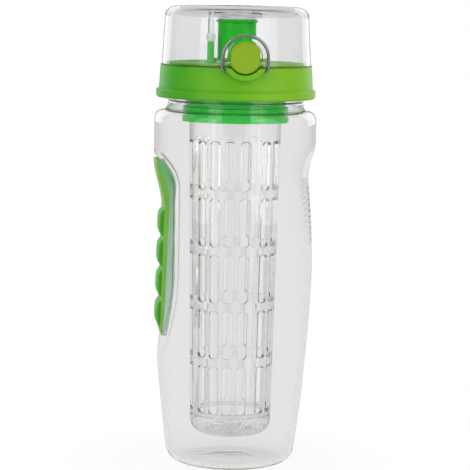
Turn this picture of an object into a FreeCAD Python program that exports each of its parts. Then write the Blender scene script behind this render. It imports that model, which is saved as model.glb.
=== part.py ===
"""A fruit infuser water bottle: clear bottle, green screw lid, clear flip cap and a slotted infuser.

The bottle stands on z = 0 with its axis on Z. The button faces -Y, the finger grip is on -X, the ribbed
thumb recess is on +X and the flip cap's hinge is on +Y. All sizes are in millimetres.
"""
import FreeCAD, Part
import math
import os
import re
import Sketcher

# Driving sizes, one cell each.
SIZES = {
    # Bottle
    "body_radius": 44.5,
    "base_radius": 35.9,
    "base_corner": 9.0,
    "foot_inner": 20.0,
    "push_up": 3.5,
    "taper_drop": 57.5,
    "shoulder_top": 197.5,
    "shoulder_round": 7.4,
    "shoulder_flat": 0.3,
    "neck_height": 20.0,
    "bottle_wall": 2.2,
    "bead_lift": 1.2,
    "bead_height": 1.6,
    "bead_out": 1.3,
    # Finger recess and thumb recess in the bottle's sides
    "finger_depth": 9.2,
    "finger_drop": 27.0,
    "finger_cove": 16.5,
    "finger_run": 47.0,
    "finger_fade": 43.0,
    "finger_foot_depth": 3.0,
    "thumb_depth": 4.1,
    "thumb_lip": 0.3,
    "thumb_drop": 22.7,
    "thumb_cove": 15.8,
    "thumb_run": 41.0,
    "rib_drop": 5.4,
    "rib_pitch": 3.2,
    "rib_half_width": 0.9,
    "rib_round": 1.05,
    # Finger grip
    "grip_half_width": 13.0,
    "grip_bond": 0.05,
    "grip_top_gap": 0.5,
    "grip_foot_gap": 6.5,
    "pad_top_thick": 4.5,
    "pad_foot_thick": 5.9,
    "pad_brow": 70.0,
    "strip_depth": 1.6,
    "wave_drop": 9.0,
    "wave_length": 70.0,
    "wave_notch": 1.4,
    "wave_depth": 2.2,
    "wave_sink": 0.5,
    "wave_crown": 45.0,
    "wave_half_span": 8.5,
    # Screw thread between neck and lid
    "thread_pitch": 5.0,
    "thread_depth": 1.6,
    "thread_root": 2.2,
    "thread_crest": 1.0,
    "thread_clearance": 0.4,
    "thread_sink": 0.6,
    "neck_thread_lift": 4.0,
    "neck_thread_turns": 1.75,
    "lid_thread_turns": 1.0,
    # Lid
    "lid_gap": 4.9,
    "lid_wall": 3.5,
    "ring_draw": 0.8,
    "flange_out": 1.5,
    "flange_height": 5.0,
    "flange_edge": 0.9,
    "gasket_thick": 1.6,
    "gasket_overhang": 0.2,
    "deck_thick": 2.4,
    "deck_rise": 1.1,
    # Boss under the deck, on which the infuser screws
    "boss_wall": 2.1,
    "boss_length": 15.0,
    "boss_pitch": 4.0,
    "boss_thread_depth": 1.2,
    "boss_thread_lift": 2.2,
    "boss_thread_turns": 1.5,
    "collar_thread_turns": 0.75,
    # Flip cap
    "cap_gap": 0.3,
    "cap_step": 0.5,
    "cap_wall": 2.1,
    "cap_draw": 1.5,
    "cap_height": 34.3,
    "cap_corner": 7.0,
    "cap_crown": 1.6,
    "deck_clearance": 0.5,
    # Spout and its seals
    "spout_radius": 10.5,
    "spout_wall": 2.2,
    "spout_height": 23.3,
    "spout_lip_out": 1.1,
    "spout_lip_height": 1.7,
    "spout_flange_out": 2.5,
    "spout_flange_thick": 1.4,
    "spout_tail": 1.2,
    "spout_fit": 0.1,
    "spout_ring_thick": 1.0,
    "seal_gap": 0.15,
    "seal_thick": 4.2,
    "seal_plug_depth": 1.2,
    "seal_plug_gap": 0.7,
    "seal_stem_radius": 8.4,
    "seal_stem_height": 2.4,
    "seal_boss_out": 3.4,
    # Air vent beside the spout
    "vent_across": 14.8,
    "vent_forward": 6.0,
    "vent_radius": 1.9,
    "vent_bore": 0.8,
    "vent_height": 11.5,
    "vent_flange_out": 0.8,
    "vent_flange_thick": 0.9,
    "stopper_radius": 2.5,
    "stopper_height": 4.2,
    "stopper_gap": 0.3,
    "stopper_socket": 2.6,
    "post_radius": 1.6,
    # Button, its cup in the lid and its latch bar
    "button_rise": 5.4,
    "button_radius": 8.8,
    "button_half_width": 7.95,
    "button_thick": 2.2,
    "button_edge": 0.6,
    "button_travel": 2.2,
    "travel_spare": 0.3,
    "cup_clearance": 0.7,
    "cup_wall": 2.8,
    "cup_proud": 3.4,
    "well_wall": 0.75,
    "nose_wall": 1.3,
    "nose_proud": 1.3,
    "latch_half_length": 12.2,
    "latch_depth": 1.5,
    "latch_height": 2.0,
    "latch_lift": 1.8,
    "latch_wall_gap": 0.6,
    "latch_bite": 1.3,
    "latch_clearance": 0.3,
    "stem_half_width": 3.0,
    "catch_thick": 1.1,
    "catch_inner": 10.0,
    "catch_outer": 12.6,
    # Spring behind the button
    "button_spring_radius": 2.2,
    "button_spring_wire": 0.35,
    "button_spring_turns": 6.0,
    "button_spring_rise": 3.7,
    "spring_peg_radius": 1.4,
    "spring_peg_length": 2.0,
    "bracket_half_width": 4.5,
    "bracket_thick": 1.8,
    "bracket_gap": 0.6,
    # Wire lock bail
    "bail_wire": 0.85,
    "bail_cup_gap": 0.3,
    "bail_ring_gap": 0.95,
    "bail_drop": 2.0,
    "bail_bend": 1.8,
    "bail_bite": 1.4,
    "bail_fit": 0.1,
    "bail_lean": 12.0,
    # Hinge of the flip cap
    "hinge_drop": 0.8,
    "hinge_gap": 0.53,
    "barrel_radius": 2.2,
    "pin_radius": 1.0,
    "pin_fit": 0.05,
    "pin_head_radius": 1.7,
    "pin_head_thick": 0.9,
    "ear_inner": 6.6,
    "ear_thick": 3.1,
    "knuckle_gap": 0.3,
    "knuckle_thick": 2.55,
    "ear_root": 6.0,
    "arm_rise": 3.6,
    "cap_spring_radius": 1.85,
    "cap_spring_wire": 0.35,
    "cap_spring_turns": 3.942,
    "cap_spring_pitch": 1.2,
    "cap_spring_leg": 7.0,
    "cap_spring_lean": 15.6,
    # Infuser
    "infuser_gap": 5.4,
    "collar_wall": 2.6,
    "collar_length": 27.7,
    "collar_gasket_thick": 1.8,
    "collar_band_out": 1.4,
    "collar_band_height": 5.9,
    "basket_taper": 2.8,
    "basket_wall": 1.6,
    "basket_fit": 0.2,
    "basket_end": 27.0,
    "rim_out": 1.1,
    "rim_height": 2.0,
    "rim_lift": 7.4,
    "slot_width": 5.1,
    "slot_corner": 1.9,
    "slot_gap": 4.7,
    "slot_foot_margin": 2.5,
    "slot_top_margin": 10.3,
    "slot_step": 20.0,
    "slot_azimuth": -21.7,
    "end_height": 11.0,
    "end_corner": 8.0,
    "end_wall": 1.8,
    "end_plug_height": 1.9,
    "end_plug_gap": 0.3,
    "drain_share": 0.14,
    "drain_circle_share": 0.765,
}

RIB_COUNT = 10
WAVE_COUNT = 4
SLOT_ROWS = 5
SLOT_GROUPS = 4
SLOTS_IN_GROUP = 4
DRAIN_HOLES = 8
LEAST_COIL_GAP = 0.4

# Sizes and places that follow from the driving sizes.
FOLLOWING = {
    "taper_start": "(shoulder_top - taper_drop)",
    "taper_depth": "(body_radius - base_radius)",
    "taper_round": "((taper_start - base_corner)^2 + taper_depth^2) / (2 * taper_depth)",
    "neck_radius": "(body_radius - shoulder_round - shoulder_flat)",
    "neck_top": "(shoulder_top + neck_height)",
    "finger_floor": "(body_radius - finger_depth)",
    "finger_top": "(shoulder_top - finger_drop)",
    "finger_turn": "(finger_top - finger_cove)",
    "finger_ease": "(finger_turn - finger_run)",
    "finger_foot": "(finger_ease - finger_fade)",
    "finger_top_round": "(finger_cove^2 + finger_depth^2) / (2 * finger_depth)",
    "finger_foot_rise": "(finger_depth - finger_foot_depth)",
    "finger_foot_round": "(finger_fade^2 + finger_foot_rise^2) / (2 * finger_foot_rise)",
    "thumb_top": "(shoulder_top - thumb_drop)",
    "thumb_turn": "(thumb_top - thumb_cove)",
    "thumb_foot": "(thumb_turn - thumb_run)",
    "thumb_round": "(thumb_cove^2 + thumb_depth^2) / (2 * thumb_depth)",
    "rib_first": "(thumb_turn - rib_drop)",
    "wave_top": "(finger_turn - wave_drop)",
    "wave_foot": "(wave_top - wave_length)",
    "lid_bore": "(neck_radius + thread_depth + thread_clearance)",
    "ring_foot_radius": "(lid_bore + lid_wall)",
    "ring_top_radius": "(ring_foot_radius - ring_draw)",
    "flange_radius": "(ring_foot_radius + flange_out)",
    "lid_foot": "(shoulder_top + lid_gap)",
    "flange_top": "(lid_foot + flange_height)",
    "deck_under": "(neck_top + gasket_thick)",
    "deck_top": "(deck_under + deck_thick)",
    "seam": "(deck_top - deck_rise)",
    "cap_foot": "(seam + cap_gap)",
    "cap_radius": "(ring_top_radius - cap_step)",
    "cap_inner": "(cap_radius - cap_wall)",
    "cap_top": "(cap_foot + cap_height)",
    "cap_side_top": "(cap_top - cap_crown - cap_corner)",
    "cap_top_radius": "(cap_radius - cap_draw)",
    "cap_flat_radius": "(cap_top_radius - cap_corner)",
    "crown_round": "(cap_flat_radius^2 + cap_crown^2) / (2 * cap_crown)",
    "deck_radius": "(cap_inner - deck_clearance)",
    "spout_bore": "(spout_radius - spout_wall)",
    "spout_hole": "(spout_radius + spout_fit)",
    "spout_seat": "(deck_top + spout_ring_thick)",
    "spout_top": "(deck_top + spout_height)",
    "seal_foot": "(spout_top + seal_gap)",
    "seal_top": "(seal_foot + seal_thick)",
    "seal_radius": "(spout_radius + seal_gap)",
    "seal_boss_radius": "(spout_radius + seal_boss_out)",
    "vent_top": "(deck_top + vent_height)",
    "stopper_foot": "(vent_top + stopper_gap)",
    "stopper_top": "(stopper_foot + stopper_height)",
    "button_centre": "(seam + button_rise)",
    "cup_inner": "(button_radius + cup_clearance)",
    "cup_outer": "(cup_inner + cup_wall)",
    "cup_inner_half": "sqrt(cup_inner^2 - button_rise^2)",
    "cup_outer_half": "sqrt(cup_outer^2 - button_rise^2)",
    "cup_front": "(ring_top_radius + cup_proud)",
    "well_back": "(lid_bore + well_wall)",
    "button_back": "(well_back + button_travel + travel_spare)",
    "nose_outer": "(cup_inner + nose_wall)",
    "nose_front": "(cap_radius + nose_proud)",
    "latch_foot": "(deck_top + latch_lift)",
    "latch_top": "(latch_foot + latch_height)",
    "latch_front": "sqrt((cap_inner - latch_wall_gap)^2 - latch_half_length^2)",
    "latch_back": "(latch_front - latch_depth)",
    "catch_back": "(latch_front - latch_bite)",
    "catch_top": "(latch_foot - latch_clearance)",
    "catch_foot": "(catch_top - catch_thick)",
    "bracket_front": "(latch_back - button_travel - bracket_gap)",
    "button_spring_axis": "(button_centre + button_spring_rise)",
    "bracket_top": "(button_spring_axis + button_spring_radius + button_spring_wire + bracket_gap)",
    "bail_half": "(cup_outer_half + bail_cup_gap + bail_wire)",
    "bail_pivot": "(seam - bail_drop)",
    "bail_forward": "(sqrt(ring_foot_radius^2 - bail_half^2) + bail_ring_gap + bail_wire)",
    "bail_leg": "(button_centre - bail_pivot)",
    "bail_socket": "(sqrt(cup_outer^2 - bail_leg^2) - bail_bite)",
    "hinge_back": "(ring_foot_radius + hinge_gap + barrel_radius)",
    "hinge_height": "(seam - hinge_drop)",
    "pin_hole": "(pin_radius + pin_fit)",
    "ear_outer": "(ear_inner + ear_thick)",
    "knuckle_outer": "(ear_inner - knuckle_gap)",
    "knuckle_inner": "(knuckle_outer - knuckle_thick)",
    "collar_band_radius": "(neck_radius - bottle_wall - infuser_gap)",
    "collar_radius": "(collar_band_radius - collar_band_out)",
    "collar_bore": "(collar_radius - collar_wall)",
    "boss_radius": "(collar_bore - thread_clearance - boss_thread_depth)",
    "collar_top": "(deck_under - collar_gasket_thick)",
    "collar_foot": "(collar_top - collar_length)",
    "collar_step": "(collar_foot + collar_band_height)",
    "basket_top_radius": "collar_bore",
    "basket_end_radius": "(basket_top_radius - basket_taper)",
    "basket_sleeve": "(basket_top_radius + basket_fit)",
    "slot_first": "(basket_end + slot_foot_margin)",
    "slot_last": "(collar_foot - slot_top_margin)",
    "rim_foot": "(collar_foot + rim_lift)",
    "rim_top": "(rim_foot + rim_height)",
    "rim_radius": "(basket_top_radius + rim_out)",
    "boss_foot": "(deck_under - boss_length)",
    "end_foot": "(basket_end - end_height)",
    "end_plug_radius": "(basket_end_radius - basket_wall - end_plug_gap)",
    "end_flat": "(basket_end_radius - end_corner)",
    "drain_radius": "(end_flat * drain_share)",
    "drain_circle": "(end_flat * drain_circle_share)",
}

document = FreeCAD.newDocument("infuser_bottle")
sheet = document.addObject("Spreadsheet::Sheet", "sizes")
for row, (alias, number) in enumerate(SIZES.items(), start=1):
    sheet.set(f"A{row}", alias)
    sheet.set(f"B{row}", str(number))
    sheet.setAlias(f"B{row}", alias)
document.recompute()


def linked(text):
    """The expression with every name spelled out as cells of the sheet."""
    def spell(found):
        word = found.group()
        if word in SIZES:
            return "sizes." + word
        if word in FOLLOWING:
            return "(" + linked(FOLLOWING[word]) + ")"
        return word
    return re.sub(r"[a-z_]+", spell, text)


def size(text):
    """The number that an expression of sizes comes to."""
    return float(sheet.evalExpression(linked(text)))


def new_body(label):
    return document.addObject("PartDesign::Body", label)


def new_sketch(body, name, role="XZ_Plane", forward=None):
    """A sketch on one of the body's own planes, moved along the plane's normal where forward is given."""
    sketch = body.newObject("Sketcher::SketchObject", name)
    plane = next(item for item in body.Origin.OriginFeatures if item.Role == role)
    sketch.AttachmentSupport = [(plane, "")]
    sketch.MapMode = "FlatFace"
    if forward is not None:
        sketch.setExpression("AttachmentOffset.Base.z", linked(forward))
    return sketch


def arc_between(start, end, radius):
    """An arc of less than half a circle, turning left where radius is positive and right where it is negative."""
    chord = end - start
    half = chord.Length / 2
    rise = math.sqrt(max(radius * radius - half * half, 0.0))
    left = FreeCAD.Vector(-chord.y, chord.x, 0).normalize()
    centre = start + chord * 0.5 + left * math.copysign(rise, radius)
    circle = Part.Circle(centre, FreeCAD.Vector(0, 0, 1), abs(radius))
    first, last = (start, end) if radius > 0 else (end, start)
    from_angle = math.atan2(first.y - centre.y, first.x - centre.x)
    to_angle = math.atan2(last.y - centre.y, last.x - centre.x)
    if to_angle < from_angle:
        to_angle += 2 * math.pi
    return Part.ArcOfCircle(circle, from_angle, to_angle)


def draw_outline(sketch, corners, bows=None):
    """Draws a closed outline. Corners are pairs of expressions. A bow gives the radius of the stretch that
    starts at that corner, as a sign and an expression."""
    bows = bows or {}
    places = [FreeCAD.Vector(size(across), size(up), 0) for across, up in corners]
    first = sketch.GeometryCount
    count = len(places)
    pieces = []
    ends = []
    for index in range(count):
        start = places[index]
        end = places[(index + 1) % count]
        if index in bows:
            sign, radius = bows[index]
            pieces.append(arc_between(start, end, sign * size(radius)))
            ends.append((1, 2) if sign > 0 else (2, 1))
        else:
            pieces.append(Part.LineSegment(start, end))
            ends.append((1, 2))
    sketch.addGeometry(pieces, False)
    constraints = []
    formulas = []
    for index in range(count):
        follower = (index + 1) % count
        constraints.append(Sketcher.Constraint(
            "Coincident", first + index, ends[index][1], first + follower, ends[follower][0]))
        formulas.append(None)
        for kind, formula, number in (("DistanceX", corners[index][0], places[index].x),
                                      ("DistanceY", corners[index][1], places[index].y)):
            constraints.append(Sketcher.Constraint(kind, -1, 1, first + index, ends[index][0], number))
            formulas.append(formula)
        if index in bows:
            sign, radius = bows[index]
            constraints.append(Sketcher.Constraint("Radius", first + index, size(radius)))
            formulas.append(radius)
    earlier = sketch.ConstraintCount
    sketch.addConstraint(constraints)
    for offset, formula in enumerate(formulas):
        if formula is not None:
            sketch.setExpression(f"Constraints[{earlier + offset}]", linked(formula))


def draw_circle(sketch, across, up, radius):
    """Draws a circle whose centre and radius are expressions."""
    centre = FreeCAD.Vector(size(across), size(up), 0)
    index = sketch.addGeometry(Part.Circle(centre, FreeCAD.Vector(0, 0, 1), size(radius)), False)
    for kind, formula in (("DistanceX", across), ("DistanceY", up)):
        number = sketch.addConstraint(Sketcher.Constraint(kind, -1, 1, index, 3, size(formula)))
        sketch.setExpression(f"Constraints[{number}]", linked(formula))
    number = sketch.addConstraint(Sketcher.Constraint("Radius", index, size(radius)))
    sketch.setExpression(f"Constraints[{number}]", linked(radius))


def box_corners(left, right, low, high):
    return [(left, low), (right, low), (right, high), (left, high)]


def turn(body, name, corners, bows=None):
    """A solid of revolution about Z from an outline of (radius, height) corners."""
    sketch = new_sketch(body, name + "_outline")
    draw_outline(sketch, corners, bows)
    feature = body.newObject("PartDesign::Revolution", name)
    feature.Profile = sketch
    feature.ReferenceAxis = (sketch, ["V_Axis"])
    feature.Angle = 360
    document.recompute()
    return feature


def pad(body, sketch, name, length, both_ways=False, backwards=False):
    feature = body.newObject("PartDesign::Pad", name)
    feature.Profile = sketch
    feature.SideType = "Symmetric" if both_ways else "One side"
    feature.Reversed = backwards
    feature.setExpression("Length", linked(length))
    document.recompute()
    return feature


def pocket(body, sketch, name, length, both_ways=False, along_normal=False):
    """A cut, against the sketch's normal unless it goes both ways or along the normal."""
    before = body.Tip.Shape.Volume
    feature = body.newObject("PartDesign::Pocket", name)
    feature.Profile = sketch
    feature.SideType = "Symmetric" if both_ways else "One side"
    feature.Reversed = along_normal
    feature.setExpression("Length", linked(length))
    document.recompute()
    if not feature.Shape.Volume < before:
        raise RuntimeError(f"{name} cuts nothing")
    return feature


def ridge(body, name, outline, pitch, turns):
    """A right-hand screw thread ridge, swept up from an outline in the XZ plane."""
    sketch = new_sketch(body, name + "_outline")
    draw_outline(sketch, outline)
    feature = body.newObject("PartDesign::AdditiveHelix", name)
    feature.Profile = sketch
    feature.ReferenceAxis = (sketch, ["V_Axis"])
    feature.Mode = "pitch-turns-angle"
    feature.setExpression("Pitch", linked(pitch))
    feature.setExpression("Turns", linked(turns))
    document.recompute()
    return feature


def ridge_outline(root, crest, middle):
    """A thread ridge's section at height middle, from its root, sunk in the wall, to its crest."""
    return [
        (root, f"{middle} - thread_root / 2"),
        (crest, f"{middle} - thread_crest / 2"),
        (crest, f"{middle} + thread_crest / 2"),
        (root, f"{middle} + thread_root / 2"),
    ]


def finger_outline(shift, far):
    """The finger recess seen from the front, its floor moved inwards by shift."""
    corners = [
        (f"-{far}", "finger_top"),
        (f"-(body_radius - {shift})", "finger_top"),
        (f"-(finger_floor - {shift})", "finger_turn"),
        (f"-(finger_floor - {shift})", "finger_ease"),
        (f"-(body_radius - finger_foot_depth - {shift})", "finger_foot"),
        (f"-{far}", "finger_foot"),
    ]
    return corners, {1: (-1, "finger_top_round"), 3: (-1, "finger_foot_round")}


def thumb_floor(height):
    """How far out the thumb recess's floor lies at a height below its deepest point."""
    slope = "(thumb_depth - thumb_lip) / (thumb_turn - thumb_foot)"
    return f"body_radius - thumb_depth + (thumb_turn - ({height})) * {slope}"


def thumb_outline(shift, far, ribbed):
    """The thumb recess seen from the front, with ribs on its floor where ribbed."""
    corners = [
        (far, "thumb_top"),
        (f"body_radius - {shift}", "thumb_top"),
        (f"body_radius - thumb_depth - {shift}", "thumb_turn"),
    ]
    bows = {1: (1, "thumb_round")}
    for number in range(RIB_COUNT if ribbed else 0):
        bows[len(corners)] = (-1, "rib_round")
        for side in ("+", "-"):
            height = f"rib_first - {number} * rib_pitch {side} rib_half_width"
            corners.append((thumb_floor(height), height))
    corners.append((f"body_radius - thumb_lip - {shift}", "thumb_foot"))
    corners.append((far, "thumb_foot"))
    return corners, bows


def make_bottle():
    """Clear bottle: outside less inside, both with the two side recesses, so the wall follows them."""
    outside = new_body("bottle_outside")
    turn(outside, "bottle_skin", [
        ("0", "push_up"),
        ("foot_inner", "0"),
        ("base_radius - base_corner", "0"),
        ("base_radius", "base_corner"),
        ("body_radius", "taper_start"),
        ("body_radius", "shoulder_top - shoulder_round"),
        ("body_radius - shoulder_round", "shoulder_top"),
        ("neck_radius", "shoulder_top"),
        ("neck_radius", "shoulder_top + bead_lift"),
        ("neck_radius + bead_out", "shoulder_top + bead_lift + bead_height / 4"),
        ("neck_radius + bead_out", "shoulder_top + bead_lift + bead_height * 3 / 4"),
        ("neck_radius", "shoulder_top + bead_lift + bead_height"),
        ("neck_radius", "neck_top"),
        ("0", "neck_top"),
    ], {2: (1, "base_corner"), 3: (1, "taper_round"), 5: (1, "shoulder_round")})
    ridge(outside, "neck_thread", ridge_outline(
        "neck_radius - thread_sink", "neck_radius + thread_depth",
        "(lid_foot + neck_thread_lift - thread_pitch / 2)"), "thread_pitch", "neck_thread_turns")
    inside = new_body("bottle_inside")
    turn(inside, "bottle_hollow", [
        ("0", "push_up + bottle_wall"),
        ("foot_inner", "bottle_wall"),
        ("base_radius - base_corner", "bottle_wall"),
        ("base_radius - bottle_wall", "base_corner"),
        ("body_radius - bottle_wall", "taper_start"),
        ("body_radius - bottle_wall", "shoulder_top - shoulder_round"),
        ("body_radius - shoulder_round", "shoulder_top - bottle_wall"),
        ("neck_radius - bottle_wall", "shoulder_top - bottle_wall"),
        ("neck_radius - bottle_wall", "neck_top + bottle_wall"),
        ("0", "neck_top + bottle_wall"),
    ], {2: (1, "(base_corner - bottle_wall)"), 3: (1, "taper_round"), 5: (1, "(shoulder_round - bottle_wall)")})
    for body, shift, ribbed in ((outside, "0", True), (inside, "bottle_wall", False)):
        for name, outline in (("finger", finger_outline(shift, "2 * body_radius")),
                              ("thumb", thumb_outline(shift, "2 * body_radius", ribbed))):
            sketch = new_sketch(body, f"{body.Name}_{name}_outline")
            draw_outline(sketch, *outline)
            pocket(body, sketch, f"{body.Name}_{name}_recess", "3 * body_radius", both_ways=True)
    bottle = document.addObject("Part::Cut", "bottle_body")
    bottle.Base = outside
    bottle.Tool = inside
    return bottle


def grip_face(height):
    """How far left the grip pad's outside lies at a height."""
    lean = "(pad_foot_thick - pad_top_thick) / (wave_top - wave_foot)"
    return f"-(finger_floor + pad_top_thick + (wave_top - ({height})) * {lean})"


def make_grip_pad():
    """Smooth pad on the floor of the finger recess, with a slot for the finger strip in its outside."""
    body = new_body("grip_pad")
    top = "(finger_top - grip_top_gap)"
    foot = "(finger_foot + grip_foot_gap)"
    top_depth = f"(finger_top_round - sqrt(finger_top_round^2 - ({top} - finger_turn)^2))"
    foot_depth = f"(finger_foot_round - sqrt(finger_foot_round^2 - (finger_ease - {foot})^2))"
    base = new_sketch(body, "grip_pad_outline")
    draw_outline(base, [
        (f"-(finger_floor + grip_bond + {top_depth})", top),
        ("-(finger_floor + grip_bond)", "finger_turn"),
        ("-(finger_floor + grip_bond)", "finger_ease"),
        (f"-(finger_floor + grip_bond + {foot_depth})", foot),
        (grip_face("wave_foot"), "wave_foot"),
        (grip_face("wave_top"), "wave_top"),
    ], {0: (-1, "finger_top_round"), 2: (-1, "finger_foot_round"), 5: (-1, "pad_brow")})
    pad(body, base, "grip_pad_block", "2 * grip_half_width", both_ways=True)
    slot = new_sketch(body, "strip_slot_outline")
    outside = "-(finger_floor + pad_foot_thick + wave_depth)"
    draw_outline(slot, [
        (outside, "wave_foot - grip_bond"),
        (f"{grip_face('wave_foot')} + strip_depth + grip_bond", "wave_foot - grip_bond"),
        (f"{grip_face('wave_top')} + strip_depth + grip_bond", "wave_top + grip_bond"),
        (outside, "wave_top + grip_bond"),
    ])
    pocket(body, slot, "strip_slot", "2 * (wave_half_span + grip_bond)", both_ways=True)
    return body


def make_finger_strip():
    """Rubber strip in the pad's slot, with a row of waves on its outside."""
    body = new_body("finger_strip")
    corners = [
        (f"{grip_face('wave_top')} + strip_depth", "wave_top"),
        (f"{grip_face('wave_foot')} + strip_depth", "wave_foot"),
    ]
    bows = {}
    for number in range(WAVE_COUNT):
        pitch = f"(wave_top - wave_foot) / {WAVE_COUNT}"
        low = f"wave_foot + {number} * {pitch} + wave_notch"
        high = f"wave_foot + {number + 1} * {pitch} - wave_notch"
        corners.append((f"{grip_face(low)} + wave_sink", low))
        bows[len(corners)] = (-1, "wave_crown")
        corners.append((f"{grip_face(low)} - wave_depth", f"{low} + wave_depth"))
        corners.append((f"{grip_face(high)} - wave_depth", f"{high} - wave_depth"))
        corners.append((f"{grip_face(high)} + wave_sink", high))
    waves = new_sketch(body, "wave_outline")
    draw_outline(waves, corners, bows)
    pad(body, waves, "waves", "2 * wave_half_span", both_ways=True)
    return body


def make_lid():
    """Screw lid: skirt with thread, deck, boss for the infuser, button cup, hinge ears and spring bracket."""
    body = new_body("lid_ring")
    turn(body, "lid_shell", [
        ("lid_bore", "lid_foot"),
        ("flange_radius - flange_edge", "lid_foot"),
        ("flange_radius", "lid_foot + flange_edge"),
        ("flange_radius", "flange_top - flange_edge"),
        ("flange_radius - flange_edge", "flange_top"),
        ("ring_foot_radius", "flange_top"),
        ("ring_top_radius", "seam"),
        ("deck_radius", "seam"),
        ("deck_radius", "deck_top"),
        ("spout_hole", "deck_top"),
        ("spout_hole", "deck_under"),
        ("boss_radius - boss_wall", "deck_under"),
        ("boss_radius - boss_wall", "boss_foot"),
        ("boss_radius", "boss_foot"),
        ("boss_radius", "deck_under"),
        ("lid_bore", "deck_under"),
    ])
    ridge(body, "lid_thread", ridge_outline(
        "lid_bore + thread_sink", "lid_bore - thread_depth",
        "(lid_foot + neck_thread_lift)"), "thread_pitch", "lid_thread_turns")
    ridge(body, "boss_thread", ridge_outline(
        "boss_radius - thread_sink", "boss_radius + boss_thread_depth",
        "(boss_foot + boss_thread_lift)"), "boss_pitch", "boss_thread_turns")
    cup = new_sketch(body, "cup_outline", forward="cup_front")
    draw_outline(cup, [
        ("-cup_outer_half", "seam"),
        ("0", "button_centre - cup_outer"),
        ("cup_outer_half", "seam"),
    ], {0: (1, "cup_outer"), 1: (1, "cup_outer")})
    pad(body, cup, "button_cup", "cup_front - well_back", backwards=True)
    well = new_sketch(body, "well_outline", forward="cup_front")
    draw_outline(well, [
        ("-cup_inner_half", "seam"),
        ("0", "button_centre - cup_inner"),
        ("cup_inner_half", "seam"),
    ], {0: (1, "cup_inner"), 1: (1, "cup_inner")})
    pocket(body, well, "button_well", "cup_front - well_back")
    for side, name in ((1, "right"), (-1, "left")):
        socket = new_sketch(body, f"bail_socket_{name}_outline", "YZ_Plane", f"{side} * bail_socket")
        draw_circle(socket, "-bail_forward", "bail_pivot", "bail_wire + bail_fit")
        pocket(body, socket, f"bail_socket_{name}", "bail_half", along_normal=side > 0)
        ear = new_sketch(body, f"ear_{name}_outline", "YZ_Plane", f"{side} * ear_inner")
        draw_outline(ear, [
            ("ring_top_radius - ring_draw", "hinge_height - ear_root"),
            ("hinge_back", "hinge_height - barrel_radius"),
            ("hinge_back + barrel_radius", "hinge_height"),
            ("hinge_back", "hinge_height + barrel_radius"),
            ("hinge_back - barrel_radius", "hinge_height"),
            ("ring_top_radius - ring_draw", "hinge_height"),
        ], {number: (1, "barrel_radius") for number in (1, 2, 3)})
        draw_circle(ear, "hinge_back", "hinge_height", "pin_hole")
        pad(body, ear, f"ear_{name}", "ear_thick", backwards=side < 0)
    bracket = new_sketch(body, "bracket_outline", forward="bracket_front")
    draw_outline(bracket, box_corners(
        "-bracket_half_width", "bracket_half_width", "deck_under", "bracket_top"))
    pad(body, bracket, "spring_bracket", "bracket_thick", backwards=True)
    peg = new_sketch(body, "bracket_peg_outline", forward="bracket_front")
    draw_circle(peg, "0", "button_spring_axis", "spring_peg_radius")
    pad(body, peg, "bracket_peg", "spring_peg_length")
    vent = new_sketch(body, "vent_hole_outline", "XY_Plane", "deck_top")
    draw_circle(vent, "-vent_across", "-vent_forward", "vent_radius + spout_fit")
    pocket(body, vent, "vent_hole", "deck_thick")
    return body


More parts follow.
